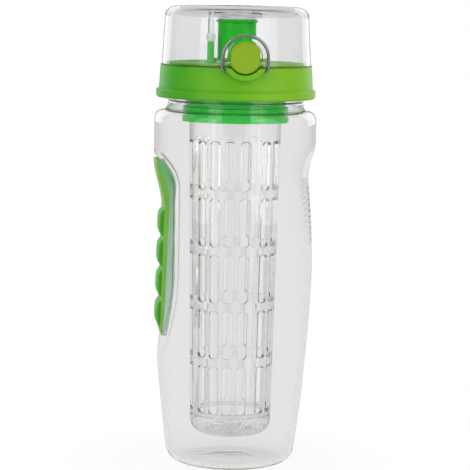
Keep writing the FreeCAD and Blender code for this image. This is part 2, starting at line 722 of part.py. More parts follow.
def make_flip_cap():
    """Clear domed cap with the seal boss, the nose round the button, the catches, the post and the knuckles."""
    body = new_body("flip_cap")
    turn(body, "cap_dome", [
        ("cap_inner", "cap_foot"),
        ("cap_radius", "cap_foot"),
        ("cap_top_radius", "cap_side_top"),
        ("cap_flat_radius", "cap_top - cap_crown"),
        ("0", "cap_top"),
        ("0", "cap_top - cap_wall"),
        ("seal_stem_radius + spout_fit", "cap_top - cap_wall"),
        ("seal_stem_radius + spout_fit", "seal_top"),
        ("seal_boss_radius", "seal_top"),
        ("seal_boss_radius", "cap_top - cap_wall - cap_crown / 4"),
        ("cap_flat_radius", "cap_top - cap_crown - cap_wall"),
        ("cap_top_radius - cap_wall", "cap_side_top"),
    ], {2: (1, "cap_corner"), 3: (1, "crown_round"), 10: (-1, "(cap_corner - cap_wall / 2)")})
    nose = new_sketch(body, "nose_outline", forward="nose_front")
    draw_outline(nose, [
        ("-nose_outer", "cap_foot"),
        ("nose_outer", "cap_foot"),
        ("nose_outer", "button_centre"),
        ("0", "button_centre + nose_outer"),
        ("-nose_outer", "button_centre"),
    ], {2: (1, "nose_outer"), 3: (1, "nose_outer")})
    pad(body, nose, "nose", "nose_proud + cap_wall", backwards=True)
    notch = new_sketch(body, "notch_outline", forward="nose_front")
    draw_outline(notch, [
        ("-cup_inner", "cap_foot"),
        ("cup_inner", "cap_foot"),
        ("cup_inner", "button_centre"),
        ("0", "button_centre + cup_inner"),
        ("-cup_inner", "button_centre"),
    ], {2: (1, "cup_inner"), 3: (1, "cup_inner")})
    pocket(body, notch, "notch", "nose_front - cap_inner / 2")
    for side, name in ((1, "right"), (-1, "left")):
        catch = new_sketch(body, f"catch_{name}_outline", forward="catch_back")
        draw_outline(catch, box_corners(
            f"{side} * catch_inner", f"{side} * catch_outer", "catch_foot", "catch_top"))
        pad(body, catch, f"catch_{name}", "latch_bite + latch_wall_gap + cap_wall / 2")
        knuckle = new_sketch(body, f"knuckle_{name}_outline", "YZ_Plane", f"{side} * knuckle_inner")
        reach = "sqrt(barrel_radius^2 - (cap_foot - hinge_height)^2)"
        draw_outline(knuckle, [
            ("cap_radius - cap_wall / 2", "cap_foot"),
            (f"hinge_back - {reach}", "cap_foot"),
            ("hinge_back", "hinge_height - barrel_radius"),
            ("hinge_back + barrel_radius", "hinge_height"),
            ("hinge_back", "hinge_height + barrel_radius"),
            ("cap_radius - cap_wall / 2", "hinge_height + barrel_radius + arm_rise"),
        ], {number: (1, "barrel_radius") for number in (1, 2, 3)})
        draw_circle(knuckle, "hinge_back", "hinge_height", "pin_hole")
        pad(body, knuckle, f"knuckle_{name}", "knuckle_thick", backwards=side < 0)
    post = new_sketch(body, "post_outline", "XY_Plane", "stopper_top - stopper_socket")
    draw_circle(post, "-vent_across", "-vent_forward", "post_radius")
    pad(body, post, "stopper_post", "cap_top - cap_crown - stopper_top + stopper_socket")
    return body


def make_turned(label, corners, bows=None):
    """A piece that is one solid of revolution about the bottle's axis."""
    body = new_body(label)
    turn(body, label + "_turned", corners, bows)
    return body


def make_spout():
    return make_turned("spout", [
        ("spout_bore", "deck_under - spout_tail"),
        ("spout_radius", "deck_under - spout_tail"),
        ("spout_radius", "spout_seat"),
        ("spout_radius + spout_flange_out", "spout_seat"),
        ("spout_radius + spout_flange_out", "spout_seat + spout_flange_thick"),
        ("spout_radius", "spout_seat + spout_flange_thick"),
        ("spout_radius", "spout_top - spout_lip_height"),
        ("spout_radius + spout_lip_out", "spout_top - spout_lip_height / 2"),
        ("spout_radius + spout_lip_out / 2", "spout_top"),
        ("spout_bore", "spout_top"),
    ])


def make_spout_seal():
    """Silicone plug: a stem held in the cap's boss, a pad over the spout's mouth and a shallow plug in its bore."""
    return make_turned("spout_seal", [
        ("0", "spout_top - seal_plug_depth"),
        ("spout_bore - seal_plug_gap - seal_plug_depth / 2", "spout_top - seal_plug_depth"),
        ("spout_bore - seal_plug_gap", "seal_foot"),
        ("seal_radius", "seal_foot"),
        ("seal_radius", "seal_top"),
        ("seal_stem_radius", "seal_top"),
        ("seal_stem_radius", "seal_top + seal_stem_height"),
        ("0", "seal_top + seal_stem_height"),
    ])


def make_collar():
    """Infuser collar: thread for the lid's boss above, groove that holds the basket's rim below."""
    body = make_turned("infuser_collar", [
        ("basket_sleeve", "collar_foot"),
        ("collar_band_radius", "collar_foot"),
        ("collar_band_radius", "collar_step"),
        ("collar_radius", "collar_step"),
        ("collar_radius", "collar_top"),
        ("collar_bore", "collar_top"),
        ("collar_bore", "rim_top + basket_fit"),
        ("rim_radius + basket_fit", "rim_top + basket_fit"),
        ("rim_radius + basket_fit", "rim_foot"),
        ("basket_sleeve", "rim_foot"),
    ])
    ridge(body, "collar_thread", ridge_outline(
        "collar_bore + thread_sink", "collar_bore - boss_thread_depth",
        "(boss_foot + boss_thread_lift + boss_pitch / 2)"), "boss_pitch", "collar_thread_turns")
    return body


def make_basket():
    """Clear tapered tube with a rim at the top and rows of slots in four groups round it."""
    body = make_turned("infuser_basket", [
        ("basket_end_radius - basket_wall", "basket_end"),
        ("basket_end_radius", "basket_end"),
        ("basket_top_radius", "collar_foot"),
        ("basket_top_radius", "rim_foot"),
        ("rim_radius", "rim_foot"),
        ("rim_radius", "rim_top"),
        ("basket_top_radius - basket_wall", "rim_top"),
        ("basket_top_radius - basket_wall", "collar_foot"),
    ])
    sketch = new_sketch(body, "slot_outline", forward="basket_end_radius - 2 * basket_wall")
    half = "slot_width / 2"
    pitch = f"(slot_last - slot_first + slot_gap) / {SLOT_ROWS}"
    top = f"slot_first + {pitch} - slot_gap"
    draw_outline(sketch, [
        (f"-{half} + slot_corner", "slot_first"),
        (f"{half} - slot_corner", "slot_first"),
        (half, "slot_first + slot_corner"),
        (half, f"{top} - slot_corner"),
        (f"{half} - slot_corner", top),
        (f"-{half} + slot_corner", top),
        (f"-{half}", f"{top} - slot_corner"),
        (f"-{half}", "slot_first + slot_corner"),
    ], {number: (1, "slot_corner") for number in (1, 3, 5, 7)})
    slot = pocket(body, sketch, "slot", "basket_top_radius", along_normal=True)
    axis = next(item for item in body.Origin.OriginFeatures if item.Role == "Z_Axis")
    rows = body.newObject("PartDesign::LinearPattern", "slot_rows")
    rows.Direction = (axis, [""])
    rows.setExpression("Length", linked(f"{SLOT_ROWS - 1} * {pitch}"))
    rows.Occurrences = SLOT_ROWS
    group = body.newObject("PartDesign::PolarPattern", "slot_group")
    group.Axis = (axis, [""])
    group.setExpression("Angle", linked(f"{SLOTS_IN_GROUP - 1} * slot_step"))
    group.Occurrences = SLOTS_IN_GROUP
    round_tube = body.newObject("PartDesign::PolarPattern", "slot_groups")
    round_tube.Axis = (axis, [""])
    round_tube.Angle = 360
    round_tube.Occurrences = SLOT_GROUPS
    slots = body.newObject("PartDesign::MultiTransform", "slots")
    slots.Originals = [slot]
    slots.Refine = False
    slots.Transformations = [rows, group, round_tube]
    body.Tip = slots
    document.recompute()
    body.setExpression("Placement.Rotation.Angle", linked(f"slot_azimuth - {SLOTS_IN_GROUP - 1} * slot_step / 2"))
    return body


def make_basket_cap():
    """Rounded end of the infuser: a cup with drain holes and a plug that twists into the basket's foot."""
    body = make_turned("basket_cap", [
        ("0", "end_foot"),
        ("end_flat", "end_foot"),
        ("basket_end_radius", "end_foot + end_corner"),
        ("basket_end_radius", "basket_end"),
        ("end_plug_radius", "basket_end"),
        ("end_plug_radius", "basket_end + end_plug_height"),
        ("end_plug_radius - end_wall", "basket_end + end_plug_height"),
        ("end_plug_radius - end_wall", "end_foot + end_corner"),
        ("end_flat", "end_foot + end_wall"),
        ("0", "end_foot + end_wall"),
    ], {1: (1, "end_corner"), 7: (-1, "(end_corner - end_wall)")})
    sketch = new_sketch(body, "drain_outline", "XY_Plane", "end_foot + end_wall")
    draw_circle(sketch, "drain_circle", "0", "drain_radius")
    hole = pocket(body, sketch, "drain_hole", "end_wall")
    holes = body.newObject("PartDesign::PolarPattern", "drain_holes")
    holes.Originals = [hole]
    holes.Axis = (sketch, ["N_Axis"])
    holes.Angle = 360
    holes.Occurrences = DRAIN_HOLES
    body.Tip = holes
    document.recompute()
    return body


def make_button():
    """Push button: a disc with flat sides, and behind it the stem that carries the latch bar."""
    body = new_body("release_button")
    side_height = "sqrt(button_radius^2 - button_half_width^2)"
    face = new_sketch(body, "button_outline", forward="button_back")
    draw_outline(face, [
        ("button_half_width", f"button_centre - {side_height}"),
        ("button_half_width", f"button_centre + {side_height}"),
        ("0", "button_centre + button_radius"),
        ("-button_half_width", f"button_centre + {side_height}"),
        ("-button_half_width", f"button_centre - {side_height}"),
        ("0", "button_centre - button_radius"),
    ], {number: (1, "button_radius") for number in (1, 2, 4, 5)})
    plate = pad(body, face, "button_plate", "button_thick")
    front = -size("button_back + button_thick")
    rim = [f"Edge{number}" for number, edge in enumerate(plate.Shape.Edges, start=1)
           if all(abs(corner.Point.y - front) < 1e-6 for corner in edge.Vertexes)]
    bevel = body.newObject("PartDesign::Chamfer", "button_bevel")
    bevel.Base = (plate, rim)
    bevel.setExpression("Size", linked("button_edge"))
    document.recompute()
    stem = new_sketch(body, "stem_outline", forward="button_back")
    draw_outline(stem, box_corners("-stem_half_width", "stem_half_width", "latch_foot", "latch_top"))
    pad(body, stem, "button_stem", "button_back - latch_back", backwards=True)
    bar = new_sketch(body, "latch_outline", forward="latch_front")
    draw_outline(bar, box_corners("-latch_half_length", "latch_half_length", "latch_foot", "latch_top"))
    pad(body, bar, "latch_bar", "latch_depth", backwards=True)
    peg = new_sketch(body, "button_peg_outline", forward="button_back")
    draw_circle(peg, "0", "button_spring_axis", "spring_peg_radius")
    pad(body, peg, "button_peg", "spring_peg_length", backwards=True)
    return body


def make_bail():
    """Wire bail drawn upright with its pivot on the origin, then leaned forward to stand before the nose."""
    body = new_body("lock_bail")
    path = new_sketch(body, "bail_path")
    corners = [
        ("-bail_socket", "0"),
        ("-(bail_half - bail_bend)", "0"),
        ("-bail_half", "bail_bend"),
        ("-bail_half", "bail_leg"),
        ("0", "bail_leg + bail_half"),
        ("bail_half", "bail_leg"),
        ("bail_half", "bail_bend"),
        ("bail_half - bail_bend", "0"),
        ("bail_socket", "0"),
    ]
    draw_outline(path, corners, {1: (-1, "bail_bend"), 3: (-1, "bail_half"), 4: (-1, "bail_half"),
                                 6: (-1, "bail_bend")})
    path.delGeometry(path.GeometryCount - 1)
    section = new_sketch(body, "bail_section", "YZ_Plane", "-bail_socket")
    draw_circle(section, "0", "0", "bail_wire")
    wire = body.newObject("PartDesign::AdditivePipe", "bail_wire_rod")
    wire.Profile = section
    wire.Spine = path
    document.recompute()
    body.Placement.Rotation = FreeCAD.Rotation(FreeCAD.Vector(1, 0, 0), size("bail_lean"))
    body.setExpression("Placement.Rotation.Angle", linked("bail_lean"))
    body.setExpression("Placement.Base.y", linked("-bail_forward"))
    body.setExpression("Placement.Base.z", linked("bail_pivot"))
    return body


def make_hinge_pin():
    """Steel pin through the ears and knuckles, with a head at one end."""
    body = new_body("hinge_pin")
    for name, radius, start, length in (
            ("pin_shank", "pin_radius", "-ear_outer", "2 * ear_outer"),
            ("pin_head", "pin_head_radius", "ear_outer", "pin_head_thick")):
        sketch = new_sketch(body, name + "_outline", "YZ_Plane", start)
        draw_circle(sketch, "hinge_back", "hinge_height", radius)
        pad(body, sketch, name, length)
    return body


def make_vent_valve():
    """Small air valve: a stem through the deck, a flange on it and an air bore."""
    body = new_body("vent_valve")
    for name, radius, start, length in (
            ("valve_stem", "vent_radius", "deck_under", "vent_top - deck_under"),
            ("valve_flange", "vent_radius + vent_flange_out", "deck_top", "vent_flange_thick")):
        sketch = new_sketch(body, name + "_outline", "XY_Plane", start)
        draw_circle(sketch, "-vent_across", "-vent_forward", radius)
        pad(body, sketch, name, length)
    bore = new_sketch(body, "valve_bore_outline", "XY_Plane", "vent_top")
    draw_circle(bore, "-vent_across", "-vent_forward", "vent_bore")
    pocket(body, bore, "valve_bore", "vent_top - deck_under")
    return body


def make_vent_stopper():
    """Silicone stopper that hangs on the cap's post over the air valve."""
    body = new_body("vent_stopper")
    block = new_sketch(body, "stopper_outline", "XY_Plane", "stopper_foot")
    draw_circle(block, "-vent_across", "-vent_forward", "stopper_radius")
    pad(body, block, "stopper_block", "stopper_height")
    hole = new_sketch(body, "stopper_socket_outline", "XY_Plane", "stopper_top")
    draw_circle(hole, "-vent_across", "-vent_forward", "post_radius + spout_fit")
    pocket(body, hole, "stopper_hole", "stopper_socket")
    return body


def bowed_edge(start, heading, end):
    """The arc that leaves start along heading and passes through end."""
    middle = (start + end) * 0.5
    half = (end - start).Length / 2
    chord = (end - start).normalize()
    lean = math.acos(max(-1.0, min(1.0, chord.dot(heading))))
    aside = heading - chord * chord.dot(heading)
    top = middle + aside.normalize() * half * math.tan(lean / 2)
    return Part.Arc(start, top, end).toShape()


def coil_edges(radius, pitch, turns):
    """A helix along X as pairs of arcs, one pair to each step of at most a quarter turn."""
    def place(angle):
        return FreeCAD.Vector(pitch * angle / (2 * math.pi), radius * math.cos(angle), radius * math.sin(angle))

    def heading(angle):
        way = FreeCAD.Vector(pitch / (2 * math.pi), -radius * math.sin(angle), radius * math.cos(angle))
        return way.normalize()

    edges = []
    count = math.ceil(turns * 4)
    step = turns * 2 * math.pi / count
    for number in range(count):
        start, end = place(number * step), place((number + 1) * step)
        leave, arrive = heading(number * step), heading((number + 1) * step)
        span = end - start
        both = leave + arrive
        a = both.dot(both) - 4
        b = -2 * span.dot(both)
        c = span.dot(span)
        reach = (-b - math.sqrt(b * b - 4 * a * c)) / (2 * a)
        joint = (start + leave * reach + end - arrive * reach) * 0.5
        joint_heading = (end - arrive * reach - start - leave * reach).normalize()
        edges.append(bowed_edge(start, leave, joint))
        edges.append(bowed_edge(joint, joint_heading, end))
    return edges, place, heading


def least_coil_gap(edges, pitch, wire):
    """Least gap between one turn of the wire and the next, measured on points along the path."""
    points = [point for edge in edges for point in edge.discretize(5)]
    apart = [(first - second).Length for number, first in enumerate(points)
             for second in points[number + 1:] if abs(first.x - second.x) > 0.6 * pitch]
    return min(apart) - 2 * wire


def make_coil(label, edges, wire, start, heading):
    """A round wire swept along a path."""
    section = Part.Wire([Part.makeCircle(wire, start, heading)])
    solid = Part.Wire(edges).makePipeShell([section], True, False)
    item = document.addObject("Part::Feature", label)
    item.Shape = solid
    return item


def make_cap_spring():
    """Torsion spring round the hinge pin, with one leg on the lid's back and one on the cap's back."""
    radius, pitch, turns = size("cap_spring_radius"), size("cap_spring_pitch"), size("cap_spring_turns")
    wire, leg = size("cap_spring_wire"), size("cap_spring_leg")
    edges, place, heading = coil_edges(radius, pitch, turns)
    last = turns * 2 * math.pi
    print("cap spring least gap", round(least_coil_gap(edges, pitch, wire), 3))
    lower = place(0) - heading(0) * leg
    upper = place(last) + heading(last) * leg
    path = [Part.makeLine(lower, place(0))] + edges + [Part.makeLine(place(last), upper)]
    spring = make_coil("cap_spring", path, wire, lower, heading(0))
    back = FreeCAD.Rotation(FreeCAD.Vector(1, 0, 0), 180 + size("cap_spring_lean"))
    spring.Placement = FreeCAD.Placement(
        FreeCAD.Vector(-pitch * turns / 2, size("hinge_back"), size("hinge_height")), back)
    return spring


def make_button_spring():
    """Compression spring between the lid's bracket and the button."""
    radius, turns = size("button_spring_radius"), size("button_spring_turns")
    wire = size("button_spring_wire")
    front, back = size("button_back"), size("bracket_front")
    pitch = (front - back - 2 * wire) / turns
    edges, place, heading = coil_edges(radius, pitch, turns)
    print("button spring least gap", round(least_coil_gap(edges, pitch, wire), 3))
    spring = make_coil("button_spring", edges, wire, place(0), heading(0))
    ahead = FreeCAD.Rotation(FreeCAD.Vector(0, 0, 1), 90)
    spring.Placement = FreeCAD.Placement(FreeCAD.Vector(0, wire - front, size("button_spring_axis")), ahead)
    return spring


PIECES = [
    make_bottle(),
    make_grip_pad(),
    make_finger_strip(),
    make_lid(),
    make_flip_cap(),
    make_spout(),
    make_spout_seal(),
    make_collar(),
    make_basket(),
    make_basket_cap(),
    make_button(),
    make_bail(),
    make_hinge_pin(),
    make_vent_valve(),
    make_vent_stopper(),
    make_cap_spring(),
    make_button_spring(),
    make_turned("neck_gasket", box_corners(
        "neck_radius - bottle_wall - gasket_overhang", "neck_radius + gasket_overhang", "neck_top", "deck_under")),
    make_turned("collar_gasket", box_corners(
        "collar_bore", "collar_radius", "collar_top", "deck_under")),
    make_turned("spout_ring", box_corners(
        "spout_hole", "spout_radius + spout_flange_out", "deck_top", "spout_seat")),
]

document.recompute()
for item in document.Objects:
    if "Invalid" in item.State or "Error" in item.State:
        raise RuntimeError(f"{item.Label} failed: {item.State}")
for piece in PIECES:
    if piece.Shape.isNull() or not piece.Shape.isValid():
        raise RuntimeError(f"{piece.Label} has no valid shape")

os.makedirs("parts", exist_ok=True)
for piece in PIECES:
    piece.Shape.exportStep(f"parts/{piece.Label}.step")
    print(piece.Label, len(piece.Shape.Solids), "solid", round(piece.Shape.Volume), "mm3")
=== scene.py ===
# %% [markdown]
# # A fruit infuser bottle
# The bottle is clear plastic with a green screw lid, a clear flip cap and a slotted infuser inside.
# Everything that moves or fastens is already drawn to size in CAD, so this lesson loads that model first
# and keeps it as a fixed frame. What is left for Blender is what drawings do badly: blown plastic with soft
# edges, rubber, wound wire, and surfaces that catch the light as the real ones do.

# %% Load the frame
import math

import bpy
from mathutils import Matrix, Vector


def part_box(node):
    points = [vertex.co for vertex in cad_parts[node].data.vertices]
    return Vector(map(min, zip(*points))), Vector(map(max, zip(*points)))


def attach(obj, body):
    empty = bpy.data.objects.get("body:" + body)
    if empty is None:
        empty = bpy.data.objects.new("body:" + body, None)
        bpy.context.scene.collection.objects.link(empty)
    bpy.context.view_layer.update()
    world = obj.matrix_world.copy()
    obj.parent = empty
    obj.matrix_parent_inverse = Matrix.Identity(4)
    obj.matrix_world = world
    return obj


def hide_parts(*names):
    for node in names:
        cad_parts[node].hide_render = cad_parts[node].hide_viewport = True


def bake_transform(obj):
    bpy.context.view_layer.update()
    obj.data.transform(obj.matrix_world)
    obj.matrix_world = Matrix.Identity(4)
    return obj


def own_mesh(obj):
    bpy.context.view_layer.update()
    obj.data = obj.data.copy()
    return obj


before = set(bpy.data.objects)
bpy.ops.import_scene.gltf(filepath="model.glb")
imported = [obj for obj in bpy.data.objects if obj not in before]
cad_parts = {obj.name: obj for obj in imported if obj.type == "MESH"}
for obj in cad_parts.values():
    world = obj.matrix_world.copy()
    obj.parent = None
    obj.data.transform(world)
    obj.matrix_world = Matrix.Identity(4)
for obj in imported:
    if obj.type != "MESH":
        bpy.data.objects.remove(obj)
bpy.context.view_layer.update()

# %% [markdown]
# ## Small helpers for materials
# Colours are written as sRGB hex, as any colour picker shows them, and one function turns them into the
# linear values that a renderer adds up. Patterns are given their size in millimetres: a noise texture of
# scale 1 has features about a metre wide here, so the scale is one over the size. One more function adds a
# node, sets it and links it, because a material is easier to read as a list of nodes than as a page of
# clicks. A few short ones use it for what most materials need: a noise, a stretched range, a calculation,
# two tones and a mix of two shaders.

# %% Helpers for materials
MM = 0.001


def linear(colour):
    """An sRGB hex colour as linear red, green, blue and full alpha."""
    parts = [int(colour[at:at + 2], 16) / 255 for at in (1, 3, 5)]
    return tuple(c / 12.92 if c <= 0.04045 else ((c + 0.055) / 1.055) ** 2.4 for c in parts) + (1.0,)


def pattern_scale(size_mm):
    """The scale of a texture whose features have a given size."""
    return 1 / (size_mm * MM)


def add_node(tree, kind, settings=None, links=None):
    """Adds a node, sets its sockets or its own settings, and links outputs of other nodes into it."""
    node = tree.nodes.new(kind)
    for name, value in (settings or {}).items():
        if isinstance(name, int) or name in node.inputs:
            node.inputs[name].default_value = value
        else:
            setattr(node, name, value)
    for name, output in (links or {}).items():
        tree.links.new(output, node.inputs[name])
    return node


def new_material(name):
    """An empty material and its tree of nodes."""
    material = bpy.data.materials.new(name)
    material.use_nodes = True
    material.node_tree.nodes.clear()
    return material, material.node_tree


print("linear mid grey:", [round(c, 3) for c in linear("#808080")])

# %% Helpers for nodes that come often


def noise(tree, place, size_mm, detail):
    """Grey values of a noise with features of a given size."""
    return add_node(tree, "ShaderNodeTexNoise", {"Scale": pattern_scale(size_mm), "Detail": detail},
                    {"Vector": place}).outputs["Fac"]


def stretch(tree, value, low, high, start=0.0, end=1.0):
    """Values from start to end, stretched to run from low to high and held there beyond."""
    return add_node(tree, "ShaderNodeMapRange",
                    {"From Min": start, "From Max": end, "To Min": low, "To Max": high},
                    {"Value": value}).outputs["Result"]


def work_out(tree, operation, *values, clamp=False):
    """The result of a calculation with plain numbers and outputs of other nodes."""
    node = add_node(tree, "ShaderNodeMath", {"operation": operation, "use_clamp": clamp})
    for at, value in enumerate(values):
        if isinstance(value, (int, float)):
            node.inputs[at].default_value = value
        else:
            tree.links.new(value, node.inputs[at])
    return node.outputs[0]


def two_tones(tree, value, one, other, low=0.0, high=1.0):
    """A colour that goes from one tone to the other while a value rises from low to high."""
    ramp = add_node(tree, "ShaderNodeValToRGB", None, {"Fac": value})
    for stop, position, colour in zip(ramp.color_ramp.elements, (low, high), (one, other)):
        stop.position = position
        stop.color = linear(colour)
    return ramp.outputs["Color"]


def mixed(tree, share, one, other):
    """A shader between two others: the first where the share is nought, the other where it is one."""
    return add_node(tree, "ShaderNodeMixShader", None, {0: share, 1: one, 2: other}).outputs[0]


print("a pattern of 5 mm has a scale of", pattern_scale(5.0))

# %% [markdown]
# ## Clear plastics
# The bottle is blow-moulded copolyester; the cap, the infuser and the infuser's end are injection-moulded.
# All are clear to the core, so the shader is a glass with the refractive index of the plastic. A blown wall
# is never quite even: a slow bump of a few centimetres bends what is seen through it, low flow marks gather
# near the base, and a finer noise dulls the gloss here and there. The edges of the infuser's slots are
# rounded by the bevel node.
#
# Lamps would be stopped by such a shader, so for shadow rays alone it is mixed with a plain transparent
# one, and what is inside the bottle is lit as it is on a table. A ray that has already met many walls goes
# straight on as well: a renderer gives up after so many bends, and would leave a black streak where the
# slots lie close together.

# %% Recipe for clear plastics
COPOLYESTER_IOR = 1.54
MIRROR_SHARE = 0.3
SHADOW_TINT = "#F4F4F3"
# A ray deeper than this has met more than eight surfaces.
DEEP_RAY = 8.5
BEVEL_SAMPLES = 6
HANDLING_MM, HANDLING_FROM, HANDLING_TO = 6.0, 0.35, 0.75
FLOW_MARK_MM, FLOW_MARK_HEIGHT_MM = 7.0, 0.08


def clear_plastic(name, tint, ripple_mm, ripple_height_mm, dull, edge_mm=0.0, marks_below_mm=0.0):
    """A clear moulding with an uneven wall, and with rounded edges or flow marks where they are asked for."""
    material, tree = new_material(name)
    place = add_node(tree, "ShaderNodeTexCoord").outputs["Object"]
    bump = add_node(tree, "ShaderNodeBump", {"Strength": 1.0, "Distance": ripple_height_mm * MM},
                    {"Height": noise(tree, place, ripple_mm, detail=1.0)})
    if edge_mm:
        edge = add_node(tree, "ShaderNodeBevel", {"samples": BEVEL_SAMPLES, "Radius": edge_mm * MM})
        tree.links.new(edge.outputs["Normal"], bump.inputs["Normal"])
    if marks_below_mm:
        height = add_node(tree, "ShaderNodeSeparateXYZ", None, {"Vector": place}).outputs["Z"]
        low = stretch(tree, height, 1.0, 0.0, 0.0, marks_below_mm * MM)
        marks = work_out(tree, "MULTIPLY", low, noise(tree, place, FLOW_MARK_MM, detail=1.0))
        bump = add_node(tree, "ShaderNodeBump", {"Strength": 1.0, "Distance": FLOW_MARK_HEIGHT_MM * MM},
                        {"Height": marks, "Normal": bump.outputs["Normal"]})
    handling = noise(tree, place, HANDLING_MM, detail=4.0)
    gloss = stretch(tree, handling, 0.0, dull, HANDLING_FROM, HANDLING_TO)
    shader = add_node(tree, "ShaderNodeBsdfPrincipled",
                      {"Base Color": linear(tint), "IOR": COPOLYESTER_IOR, "Transmission Weight": 1.0,
                       "Specular Tint": (MIRROR_SHARE, MIRROR_SHARE, MIRROR_SHARE, 1.0)},
                      {"Roughness": gloss, "Normal": bump.outputs["Normal"]})
    through = add_node(tree, "ShaderNodeBsdfTransparent", {"Color": linear(SHADOW_TINT)})
    rays = add_node(tree, "ShaderNodeLightPath").outputs
    deep = work_out(tree, "GREATER_THAN", rays["Ray Depth"], DEEP_RAY)
    straight = mixed(tree, deep, shader.outputs[0], through.outputs[0])
    both = mixed(tree, rays["Is Shadow Ray"], straight, through.outputs[0])
    add_node(tree, "ShaderNodeOutputMaterial", None, {"Surface": both})
    return material


print("refractive index", COPOLYESTER_IOR)

# %% Clear plastics
# Blown copolyester: polished mould, slightly uneven wall, a breath of grey in thick places.
blown_copolyester = clear_plastic("blown_clear_copolyester", "#F2F1F1", ripple_mm=40.0, ripple_height_mm=0.03,
                                  dull=0.008, marks_below_mm=14.0)
# Injection-moulded copolyester of the cap: even walls, so hardly any ripple.
cap_copolyester = clear_plastic("moulded_clear_copolyester", "#EFEFF0", ripple_mm=45.0, ripple_height_mm=0.02,
                                dull=0.03)
# The infuser's plastic is thinner and has no tint to speak of, with slight ripples round its many slots.
infuser_copolyester = clear_plastic("infuser_clear_copolyester", "#F8F8F8", ripple_mm=20.0,
                                    ripple_height_mm=0.012, dull=0.03, edge_mm=1.0)
# Its end cap comes from a mould with a hammered surface, which breaks up what is seen through it.
hammered_copolyester = clear_plastic("hammered_clear_copolyester", "#F8F8F8", ripple_mm=2.4,
                                     ripple_height_mm=0.3, dull=0.03, edge_mm=0.7)
print("four clear plastics")

# %% [markdown]
# ## Green plastics, rubber and silicone
# The lid, the spout and the button are coloured polypropylene, a soft waxy plastic from a mould that was
# spark eroded to a fine grain. Pigment never mixes perfectly, so the colour drifts a little along the flow
# of the plastic. Small edges of a moulding are always a little round, and the bevel node gives them that
# roundness in the shading, where the light shows it. The same recipe with other numbers makes the rubber
# and the silicone.
#
# Two of the mouldings have painted light and shade that depend on the place: the lid has a painted shadow in
# the narrow seam under the cap and is painted lighter and yellower towards its right, and the grip's pad has
# painted pale, bluish light on the side that faces the bottle, for the light seen there through the clear
# wall.

# %% Painted seam shadow and painted back light
SEAM_SHADOW, SEAM_HALF_MM, SEAM_END_MM = 0.4, 0.2, 0.8
BACK_LIGHT_PALE_MM, BACK_LIGHT_GREEN_MM = 85.0, 160.0
BACK_LIGHT_FROM, BACK_LIGHT_TO = 0.3, 0.6
# Places of the colour sockets on a mix node.
MIX_ONE, MIX_OTHER, MIX_RESULT = 6, 7, 2


def painted_seam_shadow(tree, colour, height, seam_mm):
    """A colour with a painted shadow: darker in a narrow band at one height."""
    away = work_out(tree, "ABSOLUTE", work_out(tree, "SUBTRACT", height, seam_mm * MM))
    shade = stretch(tree, away, SEAM_SHADOW, 1.0, SEAM_HALF_MM * MM, SEAM_END_MM * MM)
    seam_shadow_colour = add_node(tree, "ShaderNodeVectorMath", {"operation": "SCALE"}, {0: colour, "Scale": shade})
    return seam_shadow_colour.outputs[0]


def painted_back_light(tree, colour, height, pale, green):
    """A colour that gives way to painted light, pale below and green above, where a side faces the axis."""
    normal = add_node(tree, "ShaderNodeTexCoord").outputs["Normal"]
    facing = add_node(tree, "ShaderNodeSeparateXYZ", None, {"Vector": normal}).outputs["X"]
    inward = stretch(tree, facing, 0.0, 1.0, BACK_LIGHT_FROM, BACK_LIGHT_TO)
    rise = stretch(tree, height, 0.0, 1.0, BACK_LIGHT_PALE_MM * MM, BACK_LIGHT_GREEN_MM * MM)
    painted_light_tone = add_node(tree, "ShaderNodeMix",
                    {"data_type": "RGBA", MIX_ONE: linear(pale), MIX_OTHER: linear(green)}, {0: rise})
    back = add_node(tree, "ShaderNodeMix", {"data_type": "RGBA"},
                    {0: inward, MIX_ONE: colour, MIX_OTHER: painted_light_tone.outputs[MIX_RESULT]})
    return back.outputs[MIX_RESULT]


print("the seam is", SEAM_END_MM * 2, "mm wide")

# %% Recipe for mouldings
TONE_FROM, TONE_TO = 0.3, 0.7
MOULD_EDGE_MM = 0.35
GLOSS_SPREAD = 0.06
SOFT_REACH_MM = 1.5


